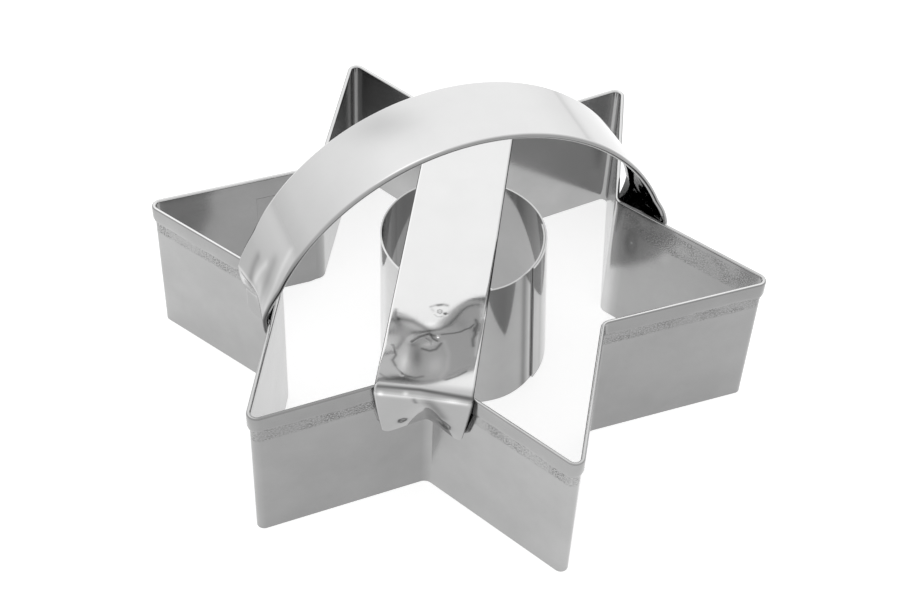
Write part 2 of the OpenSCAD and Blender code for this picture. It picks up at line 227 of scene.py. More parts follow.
class StarPlan:
    """The star's bent strip in plan: corner k is a valley where k is even and a point where it is odd."""

    # Radii that a foot and a leg keep in the bottom of the V, and the height over which a foot comes in to the wall
    VEE_R, LEG_VEE_R, LEAN_H = 0.4, 1.1, 3
    # Share of a foot's length over which it turns into the V, and share of its drawing up that a soft foot stretches
    VEE_SHARE, STRETCH = 0.6, 0.2

    def __init__(self, size):
        self.sheet, self.star = size.sheet, size.star
        self.hem_t = 2 * self.sheet.sheet_t + self.sheet.hem_gap
        self.fold_r = self.hem_t / 2
        self.rim_hem_z = self.star.wall_h - self.sheet.rim_hem
        self.corners = [self.bent_corner(i) for i in range(CORNERS)]

    def bent_corner(self, i):
        out, sideways = BENT_OFFSETS[i]
        u = cmath.rect(1, math.tau * i / CORNERS)
        r = self.star.point_r if i % 2 else self.star.valley_r
        hundredth = self.star.forming * self.star.point_r / 100
        return hundredth * STAR_MID + (r + hundredth * (out + 1j * sideways)) * u

    def corner(self, k):
        return self.corners[k % CORNERS]

    def wall_dir(self, k):
        return unit(self.corner(k + 1) - self.corner(k))

    def wall_out(self, k):
        return -1j * self.wall_dir(k)

    def wall_point(self, k, along, out):
        return self.corner(k) + along * self.wall_dir(k) + out * self.wall_out(k)

    def half_angle(self, k):
        return math.acos(dot(-self.wall_dir(k - 1), self.wall_dir(k))) / 2

    def bend_r(self, k):
        return self.star.point_bend_r if k % 2 else self.star.valley_bend_r

    def bend_take(self, k):
        """Length of wall that a bend takes on each side of its corner."""
        return self.bend_r(k) / math.tan(self.half_angle(k))

    def bend(self, k, steps):
        """Points of the bend at corner k, on the inside face."""
        back, ahead = -self.wall_dir(k - 1), self.wall_dir(k)
        half = self.half_angle(k)
        centre = self.corner(k) + unit(back + ahead) * self.bend_r(k) / math.sin(half)
        start = self.corner(k) + back * self.bend_take(k) - centre
        turn = math.copysign(math.pi - 2 * half, ((-back).conjugate() * ahead).imag)
        return [centre + start * cmath.rect(1, turn * i / steps) for i in range(steps + 1)]

    def seam_start(self):
        return self.bend_take(SEAM_VALLEY) + self.star.seam_outer

    def path(self, bend_steps, wall_steps):
        """The strip's inside face from end to end."""
        points = [self.wall_point(SEAM_VALLEY, self.seam_start(), 0)]
        for k in range(SEAM_VALLEY + 1, SEAM_VALLEY + CORNERS + 1):
            bend = self.bend(k, bend_steps)
            points += [mix(points[-1], bend[0], i / wall_steps) for i in range(1, wall_steps)]
            points += bend
        end = self.wall_point(SEAM_VALLEY, self.seam_start() - self.star.seam_slit, 0)
        return points + [end]

    def reach(self, k, line, v, out):
        """How far out along a strap's line the face of wall k lies, out from its inside face."""
        n = self.wall_out(k)
        return (out - dot(line[0] + v * 1j * line[1] - self.corner(k), n)) / dot(line[1], n)

    def valley_reach(self, k, line, v, out, radius=VEE_R):
        a, b = self.reach(k - 1, line, v, out), self.reach(k, line, v, out)
        return (a + b) / 2 + math.hypot((a - b) / 2, radius)

    def squeeze(self, k, line, s, vee):
        """Where s comes to lie across the line when the strap turns into the V without stretching."""
        wall = self.wall_dir(k if s > 0 else k - 1)
        return s * mix(1, abs(dot(wall, 1j * line[1])), vee)

    def hang_out(self, k, line, w, vee):
        """How far out a strap hangs, so that its edges clear the rim."""
        clear = self.hem_t + 2 * self.sheet.weld_gap
        sides = [self.squeeze(k, line, s * w / 2, vee) for s in (-1, 1)]
        return max(self.reach(wall, line, s, clear) for wall in (k - 1, k) for s in sides)

    def foot_drop(self, foot, s):
        """Length of a foot at s across it, drawn up in the middle and round at its corners."""
        v = self.squeeze(foot.k, foot.line, s, 1)
        inward = foot.out - self.valley_reach(foot.k, foot.line, v, self.sheet.sheet_t + self.sheet.weld_gap)
        inward *= 1 - self.STRETCH * foot.softness
        into_corner = min(max(0, abs(s) - (foot.width / 2 - foot.corner_r)), foot.corner_r)
        corner_rise = foot.corner_r - math.sqrt(foot.corner_r**2 - into_corner**2)
        return math.sqrt(foot.length**2 - inward**2) - corner_rise

    def foot_point(self, foot, s, h, t, z_top):
        """Point of a foot at share t of the way down from z_top; a soft one turns and leans in over its length."""
        z = z_top - t * self.foot_drop(foot, s)
        vee = mix(foot.vee_top, 1, ease(t / self.VEE_SHARE))
        below = self.rim_hem_z - z
        lean = ease(below / self.LEAN_H)
        if foot.softness:
            vee = mix(vee, mix(foot.vee_top, 1, t), foot.softness)
            even = min(max(0, below / (self.rim_hem_z - z_top + foot.length)), 1)
            lean = mix(lean, even, foot.softness)
        v = self.squeeze(foot.k, foot.line, s, vee)
        turned = ease((vee - foot.vee_top) / (1 - foot.vee_top)) if foot.vee_top else 1
        radius = mix(self.LEG_VEE_R, self.VEE_R, turned)
        off = mix(self.hem_t, self.sheet.sheet_t, lean) + self.sheet.weld_gap + h
        near = self.valley_reach(foot.k, foot.line, v, off, radius)
        return self.leaned(line_point(foot.line, v, mix(foot.out + h, near, vee), z))

    def leaned(self, place):
        """Where a place of the upright star comes to lie when its cutting edge leans."""
        x, y, z = place
        return x, y + self.star.lean * max(0, 1 - z / self.star.wall_h), z


def line_point(line, v, u, z):
    """Point that lies v to the left, u out and z up on a strap's line."""
    p = line[0] + v * 1j * line[1] + u * line[1]
    return p.real, p.imag, z


def arc_points(x, z, radius, start, end, steps):
    """Points of an arc in a section, with its angles in degrees."""
    turns = [math.radians(mix(start, end, i / steps)) for i in range(steps + 1)]
    return [(x + radius * math.cos(a), z + radius * math.sin(a)) for a in turns]


def rim_section(plan, fold_steps, wall_steps):
    """Closed section of the hemmed wall, as points out from its inside face and up."""
    sheet, top = plan.sheet, plan.star.wall_h
    t, gap, fold = sheet.sheet_t, sheet.hem_gap, plan.fold_r
    lip_z = plan.rim_hem_z + sheet.lip_h
    heights = [mix(0, top - fold, i / wall_steps) for i in range(wall_steps)]
    outer = [(0, z) for z in heights] + arc_points(fold, top - fold, fold, 180, 0, fold_steps)
    outer += [(plan.hem_t, lip_z), (plan.hem_t - t * (1 - sheet.lip_share), plan.rim_hem_z)]
    inner = [(plan.hem_t - t, plan.rim_hem_z), (plan.hem_t - t, lip_z)]
    inner += arc_points(fold, top - fold, gap / 2, 0, 180, fold_steps)
    return outer + inner + [(t, z) for z in reversed(heights)]


def strap_section(sheet, hem_t, w, fold_steps, strap_steps):
    """Section of a hemmed strap as two rows of points, across it and up from the under side."""
    t, gap, fold = sheet.strap_t, sheet.hem_gap, hem_t / 2
    edge = w / 2 - fold
    rows = []
    for radius, low, high in ((fold, 0, hem_t), (gap / 2, t, hem_t - t)):
        row = [(sheet.strap_hem - w / 2, low)] + arc_points(-edge, fold, radius, 270, 90, fold_steps)
        row += [(mix(-edge, edge, i / strap_steps), high) for i in range(1, strap_steps)]
        row += arc_points(edge, fold, radius, 90, -90, fold_steps) + [(w / 2 - sheet.strap_hem, low)]
        rows.append(row)
    return rows


# Meshes: corners closer than this in metres are merged, and edges over this angle in degrees are sharp
MERGE_DIST = 1e-7
SHARP_OVER = 32


def link(name, mesh):
    """A new object of the scene at the origin."""
    piece = bpy.data.objects.new(name, mesh)
    bpy.context.scene.collection.objects.link(piece)
    return piece


def turned_outward(mesh):
    """Gives a closed mesh outward faces, after its doubles are merged."""
    work = bmesh.new()
    work.from_mesh(mesh)
    bmesh.ops.remove_doubles(work, verts=work.verts, dist=MERGE_DIST)
    bmesh.ops.recalc_face_normals(work, faces=work.faces)
    work.to_mesh(mesh)
    work.free()
    return mesh


def sheet_mesh(name, grids, marks_and_painted_shade=None):
    """A closed bent sheet, from two grids of points in mm that lie opposite each other on its faces."""
    grids = np.array(grids, float)
    _, rows, cols, _ = grids.shape
    index = np.arange(2 * rows * cols).reshape(2, rows, cols)

    def quads(a, b, c, d):
        return np.stack([a, b, c, d], -1).reshape(-1, 4)

    top, under = index
    faces = [
        quads(top[:-1, :-1], top[:-1, 1:], top[1:, 1:], top[1:, :-1]),
        quads(under[:-1, :-1], under[1:, :-1], under[1:, 1:], under[:-1, 1:]),
        quads(top[:-1, 0], top[1:, 0], under[1:, 0], under[:-1, 0]),
        quads(top[:-1, -1], under[:-1, -1], under[1:, -1], top[1:, -1]),
        quads(top[0, :-1], under[0, :-1], under[0, 1:], top[0, 1:]),
        quads(top[-1, :-1], top[-1, 1:], under[-1, 1:], under[-1, :-1]),
    ]
    mesh = bpy.data.meshes.new(name)
    mesh.from_pydata((grids.reshape(-1, 3) * MM).tolist(), [], np.concatenate(faces).tolist())
    lengths = path_lengths(grids.mean(axis=(0, 2))), path_lengths(grids[0, rows // 2])
    store(mesh, "along", np.broadcast_to(lengths[0][None, :, None], (2, rows, cols)))
    store(mesh, "across", np.broadcast_to(lengths[1][None, None, :], (2, rows, cols)))
    if marks_and_painted_shade is not None:
        store(mesh, "marks_and_painted_shade", marks_and_painted_shade)
    return turned_outward(mesh)


def path_lengths(points):
    """Distance in mm along a row of points, at each of them."""
    steps = np.linalg.norm(np.diff(points, axis=0), axis=1)
    return np.concatenate([[0], np.cumsum(steps)])


def store(mesh, name, values):
    """Keeps a number for each vertex, which materials read."""
    attribute = mesh.attributes.new(name, "FLOAT", "POINT")
    attribute.data.foreach_set("value", np.ascontiguousarray(values, np.float32).ravel())


def strip_places(mesh):
    """Each vertex's place along and across its flat strip, in mm."""
    places = []
    for name in ("along", "across"):
        values = np.zeros(len(mesh.vertices), np.float32)
        mesh.attributes[name].data.foreach_get("value", values)
        places.append(values.astype(float))
    return places


def corners_of(mesh):
    """Vertex places in mm."""
    places = np.zeros(len(mesh.vertices) * 3, np.float32)
    mesh.vertices.foreach_get("co", places)
    return places.reshape(-1, 3).astype(float) / MM


def move_corners(mesh, places):
    mesh.vertices.foreach_set("co", (places * MM).astype(np.float32).ravel())
    mesh.update()


def line_mesh(name, points, closed=False):
    """Points in mm joined by edges, for a tree to sweep or follow."""
    count = len(points)
    edges = [(i, (i + 1) % count) for i in range(count if closed else count - 1)]
    mesh = bpy.data.meshes.new(name)
    mesh.from_pydata([tuple(c * MM for c in p) for p in points], edges, [])
    return mesh


def join(piece, meshes):
    """Adds closed meshes to a piece's own mesh."""
    work = bmesh.new()
    for mesh in [piece.data] + meshes:
        work.from_mesh(mesh)
    work.to_mesh(piece.data)
    work.free()


# Marks: shares of a hem's thickness beyond which a strap's face is its top or its under side, and limits of a shade
TOP_FROM, UNDER_TO = 0.6, 0.1
BRIGHTEST, DARKEST = -0.6, 0.96


class SheetMarks:
    """Dents, creases, burnt places and painted shade, highlights and reflections on a sheet, in mm along and across
    it.
    """

    def __init__(self, along, across):
        self.along, self.across = along, across
        self.depth = np.zeros(along.shape)
        self.shade = np.zeros(along.shape)

    def spots(self, rows):
        """Soft ovals, each by its place, its radii along and across, its turn in degrees, depth and shade."""
        for along, across, reach, width, turn, depth, shade in rows:
            arm = (self.along - along + 1j * (self.across - across)) * cmath.rect(1, -math.radians(turn))
            soft = np.exp(-((arm.real / reach) ** 2) - (arm.imag / width) ** 2)
            self.depth += depth * soft
            self.shade += shade * soft

    def strokes(self, rows):
        """Creases, scratches and painted bands of shade and highlight, each by its width, depth and shade and then
        its points.
        """
        place = self.along + 1j * self.across
        for width, depth, shade, *points in rows:
            near = np.full(place.shape, np.inf)
            for start, end in zip(points, points[1:]):
                start, run = complex(*start), complex(*end) - complex(*start)
                t = np.clip(((place - start) * run.conjugate()).real / abs(run) ** 2, 0, 1)
                near = np.minimum(near, abs(place - start - t * run))
            soft = np.exp(-((near / width) ** 2))
            self.depth += depth * soft
            self.shade += shade * soft

    def shade_along(self, rows):
        """A painted shade that changes along the sheet, by rows of place and shade."""
        self.shade += np.interp(self.along, *zip(*rows))


def strap_marks(faces, section, zero_row):
    """Marks over a strap's grid, from one of its rows on, and the way out of the strap at each row."""
    along = path_lengths(faces.mean(axis=(0, 2)))
    side = np.array([x for x, _ in section[0]])
    middle = len(side) // 2
    out = faces[0][:, middle] - faces[1][:, middle]
    marks = SheetMarks(*np.meshgrid(along[zero_row] - along, side, indexing="ij"))
    return marks, out / np.linalg.norm(out, axis=1)[:, None]


def strap_tones(marks, under_shade, section, hem_t, left_edge, right_edge):
    """How much darker each place of a strap is: its marks and painted shade on top, the painted shade and highlights
    of its folded edges, and the painted shade of its under side.
    """
    side, up = np.array(section[0]).T
    top, under = up > TOP_FROM * hem_t, up < UNDER_TO * hem_t
    edge = np.sqrt(np.clip(1 - abs(2 * up / hem_t - 1), 0, 1)) * np.where(side > 0, left_edge, right_edge)
    outside = marks.shade * top[None, :] + edge[None, :] + under_shade.shade * under[None, :]
    return np.clip([outside, under_shade.shade], BRIGHTEST, DARKEST)


# Geometry Nodes and node groups
class Tree:
    """Short calls for making nodes, in a geometry or a shader tree."""

    def __init__(self, tree):
        self.tree = tree

    def add(self, kind, inputs=None, **settings):
        """A node with its settings, and with its inputs joined to sockets or given values."""
        node = self.tree.nodes.new(kind)
        for name, value in settings.items():
            setattr(node, name, value)
        for key, value in (inputs or {}).items():
            socket = node.inputs[key]
            if isinstance(value, bpy.types.NodeSocket):
                self.tree.links.new(value, socket)
            elif isinstance(value, bpy.types.Node):
                self.tree.links.new(value.outputs[0], socket)
            else:
                socket.default_value = value
        return node

    def math(self, operation, *values):
        return self.add("ShaderNodeMath", dict(enumerate(values)), operation=operation).outputs[0]

    def rest(self, value):
        """What a value leaves of 1."""
        return self.math("SUBTRACT", 1.0, value)

    def vector(self, operation, *values, scale=None):
        """The result of vector maths, which is a number for a length or a dot product."""
        inputs = dict(enumerate(values))
        if scale is not None:
            inputs["Scale"] = scale
        outputs = self.add("ShaderNodeVectorMath", inputs, operation=operation).outputs
        return outputs["Value" if operation in ("LENGTH", "DOT_PRODUCT") else "Vector"]

    def parts(self, vector):
        return self.add("ShaderNodeSeparateXYZ", {0: vector}).outputs

    def ramp(self, value, low, high, to_low=0.0, to_high=1.0, smooth=False):
        """A value carried from one range to another."""
        inputs = {"Value": value, "From Min": low, "From Max": high, "To Min": to_low, "To Max": to_high}
        kind = "SMOOTHSTEP" if smooth else "LINEAR"
        return self.add("ShaderNodeMapRange", inputs, interpolation_type=kind).outputs[0]

    def noise(self, place, scale, detail, roughness=0.5):
        inputs = {"Vector": place, "Scale": scale, "Detail": detail, "Roughness": roughness}
        return self.add("ShaderNodeTexNoise", inputs).outputs[0]

    def stored(self, name):
        """A number that the mesh keeps for each vertex."""
        return self.add("ShaderNodeAttribute", attribute_name=name).outputs["Fac"]


def new_group(name, kind, inputs, outputs):
    """A new node group with sockets from rows of name, kind and default, with its inputs' ids and sockets."""
    tree = bpy.data.node_groups.new(name, kind)
    ids = {}
    for in_out, rows in (("INPUT", inputs), ("OUTPUT", outputs)):
        for label, socket_kind, *default in rows:
            socket = tree.interface.new_socket(label, in_out=in_out, socket_type="NodeSocket" + socket_kind)
            if default:
                socket.default_value = default[0]
            if in_out == "INPUT":
                ids[label] = socket.identifier
    make = Tree(tree)
    return make, ids, make.add("NodeGroupInput").outputs


def own_tree(owner):
    """The emptied node tree of a material or a world."""
    owner.use_nodes = True
    owner.node_tree.nodes.clear()
    return Tree(owner.node_tree)


def swept_strip_tree():
    """Geometry Nodes that sweep a closed section along a strip's bent path, then flare and lean it."""
    make, ids, given = new_group(
        "swept_strip",
        "GeometryNodeTree",
        (
            ("Geometry", "Geometry"),
            ("Section", "Object"),
            ("Height", "Float", 0.0254),
            ("Centre", "Vector"),
            ("Flare", "Float", 0.0),
            ("Lean", "Vector"),
            ("Material", "Material"),
        ),
        (("Geometry", "Geometry"),),
    )
    path = make.add("GeometryNodeMeshToCurve", {"Mesh": given["Geometry"]})
    path = make.add("GeometryNodeSetCurveNormal", {"Curve": path}, mode="Z_UP")
    section = make.add("GeometryNodeObjectInfo", {"Object": given["Section"]}).outputs["Geometry"]
    section = make.add("GeometryNodeMeshToCurve", {"Mesh": section})
    run = make.math("DIVIDE", make.add("GeometryNodeSplineParameter").outputs["Length"], MM)
    path = make.add("GeometryNodeStoreNamedAttribute", {"Geometry": path, "Name": "along", "Value": run})
    section = make.add("GeometryNodeStoreNamedAttribute", {"Geometry": section, "Name": "across", "Value": run})
    strip = make.add("GeometryNodeCurveToMesh", {"Curve": path, "Profile Curve": section, "Fill Caps": True})
    place = make.add("GeometryNodeInputPosition").outputs[0]
    down = make.math("MAXIMUM", 0.0, make.rest(make.math("DIVIDE", make.parts(place)["Z"], given["Height"])))
    flat = make.vector("MULTIPLY", make.vector("SUBTRACT", place, given["Centre"]), (1, 1, 0))
    spread = make.vector("SCALE", make.vector("NORMALIZE", flat), scale=make.math("MULTIPLY", down, given["Flare"]))
    offset = make.vector("ADD", spread, make.vector("SCALE", given["Lean"], scale=down))
    formed = make.add("GeometryNodeSetPosition", {"Geometry": strip, "Offset": offset})
    real = make.add("GeometryNodeRealizeInstances", {"Geometry": formed})
    finished = make.add("GeometryNodeSetMaterial", {"Geometry": real, "Material": given["Material"]})
    make.add("NodeGroupOutput", {0: finished})
    return make.tree, ids


def run_tree(piece, tree, ids, values):
    """Runs a tree on a piece with the given inputs, and keeps the result as the piece's plain mesh."""
    modifier = piece.modifiers.new(tree.name, "NODES")
    modifier.node_group = tree
    for name, value in values.items():
        modifier[ids[name]] = value
    bpy.context.view_layer.update()
    made = bpy.data.meshes.new_from_object(piece.evaluated_get(bpy.context.evaluated_depsgraph_get()))
    piece.modifiers.remove(modifier)
    piece.data = made


def swept(name, path, section, material, height, centre=0j, flare=0.0, lean=0j):
    """A piece that is a section swept along a path in plan, both in mm."""
    piece = link(name, line_mesh(name, [(p.real, p.imag, 0) for p in path]))
    outline = link(name + "_section", line_mesh(name + "_section", [(x, -z, 0) for x, z in section], True))
    tree, ids = swept_strip_tree()
    values = {
        "Section": outline,
        "Height": height * MM,
        "Centre": (centre.real * MM, centre.imag * MM, 0),
        "Flare": flare * MM,
        "Lean": (lean.real * MM, lean.imag * MM, 0),
        "Material": material,
    }
    run_tree(piece, tree, ids, values)
    bpy.data.objects.remove(outline)
    turned_outward(piece.data)
    return piece


def finish_piece(piece, node, material):
    """Shades a piece, hides the solid that it stands for, and hangs it on the body that it rides on."""
    piece.data.shade_smooth()
    piece.data.set_sharp_from_angle(angle=math.radians(SHARP_OVER))
    piece.data.materials.clear()
    piece.data.materials.append(material)
    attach(piece, "root")
    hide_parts(node)


# Steel. Most of a noise's values lie in its span, and the grain is drawn out along the strip
NOISE_SPAN = (0.3, 0.7)
GRAIN_STRETCH = (0.03, 1, 1)


def grain_group():
    """Fine lines that rolling leaves along the strip, and soft stains of handling."""
    make, _, given = new_group(
        "rolled_grain",
        "ShaderNodeTree",
        (("Place", "Vector"), ("Lines", "Float", 6.0), ("Stains", "Float", 0.12)),
        (("Lines", "Float"), ("Stains", "Float")),
    )
    stretched = make.vector("MULTIPLY", given["Place"], GRAIN_STRETCH)
    lines = make.noise(stretched, given["Lines"], detail=4.0, roughness=0.7)
    stains = make.noise(given["Place"], given["Stains"], detail=5.0, roughness=0.6)
    make.add("NodeGroupOutput", {"Lines": lines, "Stains": stains})
    return make.tree


def shared(name, build):
    """A node group that is built once and used by every material that calls for it."""
    return bpy.data.node_groups.get(name) or build()


def steel(name, colour, roughness, rough_spread, line_depth, stain_depth, dressing=None):
    """A steel with rolled grain and its piece's marks and painted shade; a dressing adds a share of its colour and a
    height in mm.
    """
    material = bpy.data.materials.new(name)
    make = own_tree(material)
    place = make.add("ShaderNodeCombineXYZ", {"X": make.stored("along"), "Y": make.stored("across")}).outputs[0]
    grain = make.add("ShaderNodeGroup", {"Place": place}, node_tree=shared("rolled_grain", grain_group)).outputs
    shade = make.ramp(grain["Stains"], *NOISE_SPAN, 1 - stain_depth, 1 + stain_depth)
    # The piece's marks, painted shade and painted highlights, as a share of colour taken away
    kept = make.math("MULTIPLY", shade, make.rest(make.stored("marks_and_painted_shade")))
    height = make.math("MULTIPLY", grain["Lines"], line_depth)
    if dressing:
        dressed, raised = dressing(make, place)
        kept = make.math("MULTIPLY", kept, dressed)
        height = make.math("ADD", height, raised)
    rough = make.ramp(grain["Lines"], *NOISE_SPAN, roughness - rough_spread, roughness + rough_spread)
    bump = make.add("ShaderNodeBump", {"Strength": 1.0, "Distance": MM, "Height": height})
    shader = make.add(
        "ShaderNodeBsdfPrincipled",
        {
            "Base Color": make.vector("SCALE", tuple(colour[:3]), scale=kept),
            "Metallic": 1.0,
            "Roughness": rough,
            "Normal": bump,
        },
    )
    make.add("ShaderNodeOutputMaterial", {"Surface": shader})
    return material


# The press's band just below the hem, in mm: its low side below the hem, its high side inside below the rim,
# the softness of both sides, the height of its speckle, and the width of the change from inside to outside
PRESS_LOW, PRESS_HIGH_INSIDE = 2.5, 1
PRESS_SOFT_LOW, PRESS_SOFT_HIGH = 0.5, 0.15
PRESS_RELIEF = 0.005
PRESS_TURN = 1
PRESS_STRETCH = (0.9, 1.3, 1)
# How much the band darkens the steel, and how much its speckle changes that
PRESS_SHADE, PRESS_SPECKLE = 0.4, -0.6
# Where along the strip the band shows inside: its start, where it is full, and its end; and its strength there
INNER_PRESS = (188, 196, 221)
INNER_SHARE = 0.75
# Ovals of the weld that holds the handle's right foot, with painted shade and highlights for the foot's reflection
# beside it: place on the strip, radii, shade and depth
WELD_DENT_AND_PAINTED_SHADE = (
    ((219.2, 18.2), (3.4, 7.5), 0.25, 0),
    ((219, 18.2), (2.5, 5.6), -0.3, 0),
    ((219, 18.2), (2, 4.2), 0.5, 0.06),
    ((218.9, 18.3), (1, 2.2), -0.6, -0.05),
    ((218.9, 18.3), (0.35, 0.45), -0.7, 0),
    ((213, 19.5), (2.6, 3), -0.15, 0),
)


def press_group():
    """Speckled marks of a press in a patchy band of heights."""
    make, _, given = new_group(
        "press_band",
        "ShaderNodeTree",
        (("Place", "Vector"), ("Height", "Float", 0.0), ("Low", "Float", 20.8), ("High", "Float", 22.4)),
        (("Band", "Float"), ("Speckle", "Float")),
    )
    height, low, high = given["Height"], given["Low"], given["High"]
    rise = make.ramp(height, low, make.math("ADD", low, PRESS_SOFT_LOW), smooth=True)
    fall = make.ramp(height, high, make.math("ADD", high, PRESS_SOFT_HIGH), smooth=True)
    painted_spots = make.noise(given["Place"], scale=0.35, detail=1.0)
    worn = make.ramp(painted_spots, low=0.4, high=0.62, to_low=0.45, to_high=1.1)
    band = make.math("MULTIPLY", make.math("MULTIPLY", rise, make.rest(fall)), worn)
    stretched = make.vector("MULTIPLY", given["Place"], PRESS_STRETCH)
    speckle = make.noise(stretched, scale=3.6, detail=1.0, roughness=0.6)
    speckle = make.ramp(speckle, low=0.35, high=0.65, to_low=-1.0, to_high=1.0)
    make.add("NodeGroupOutput", {"Band": band, "Speckle": speckle})
    return make.tree


def press_marks(make, place, plan, strength):
    """The press's band, strong outside and faint inside, and the weld's dent with its painted shade and highlights,
    as a share of colour and a height.
    """
    object_place = make.add("ShaderNodeTexCoord").outputs["Object"]
    along, across = make.parts(place)[:2]
    rim = plan.star.wall_h
    begin, full, end = INNER_PRESS
    inner = make.math("MULTIPLY", make.ramp(along, begin, full, 0.0, INNER_SHARE), make.math("LESS_THAN", along, end))
    inputs = {
        "Place": place,
        "Height": make.math("DIVIDE", make.parts(object_place)["Z"], MM),
        "Low": plan.rim_hem_z - PRESS_LOW,
        "High": make.ramp(across, rim, rim + PRESS_TURN, rim - PRESS_HIGH_INSIDE, plan.rim_hem_z),
    }
    band, speckle = make.add("ShaderNodeGroup", inputs, node_tree=shared("press_band", press_group)).outputs
    amount = make.math("MULTIPLY", band, make.ramp(across, rim, rim + PRESS_TURN, inner, 1.0))
    uneven = make.math("ADD", PRESS_SHADE, make.math("MULTIPLY", speckle, PRESS_SPECKLE))
    kept = make.rest(make.math("MULTIPLY", make.math("MULTIPLY", amount, uneven), strength))
    raised = make.math("MULTIPLY", make.math("MULTIPLY", amount, speckle), PRESS_RELIEF)
    for centre, radii, shade, depth in WELD_DENT_AND_PAINTED_SHADE:
        arm = make.vector("DIVIDE", make.vector("SUBTRACT", place, (*centre, 0)), (*radii, 1))
        oval = make.ramp(make.vector("LENGTH", arm), 0.0, 1.0, 1.0, 0.0, smooth=True)
        kept = make.math("MULTIPLY", kept, make.rest(make.math("MULTIPLY", oval, shade)))
        raised = make.math("SUBTRACT", raised, make.math("MULTIPLY", oval, depth))
    return kept, raised


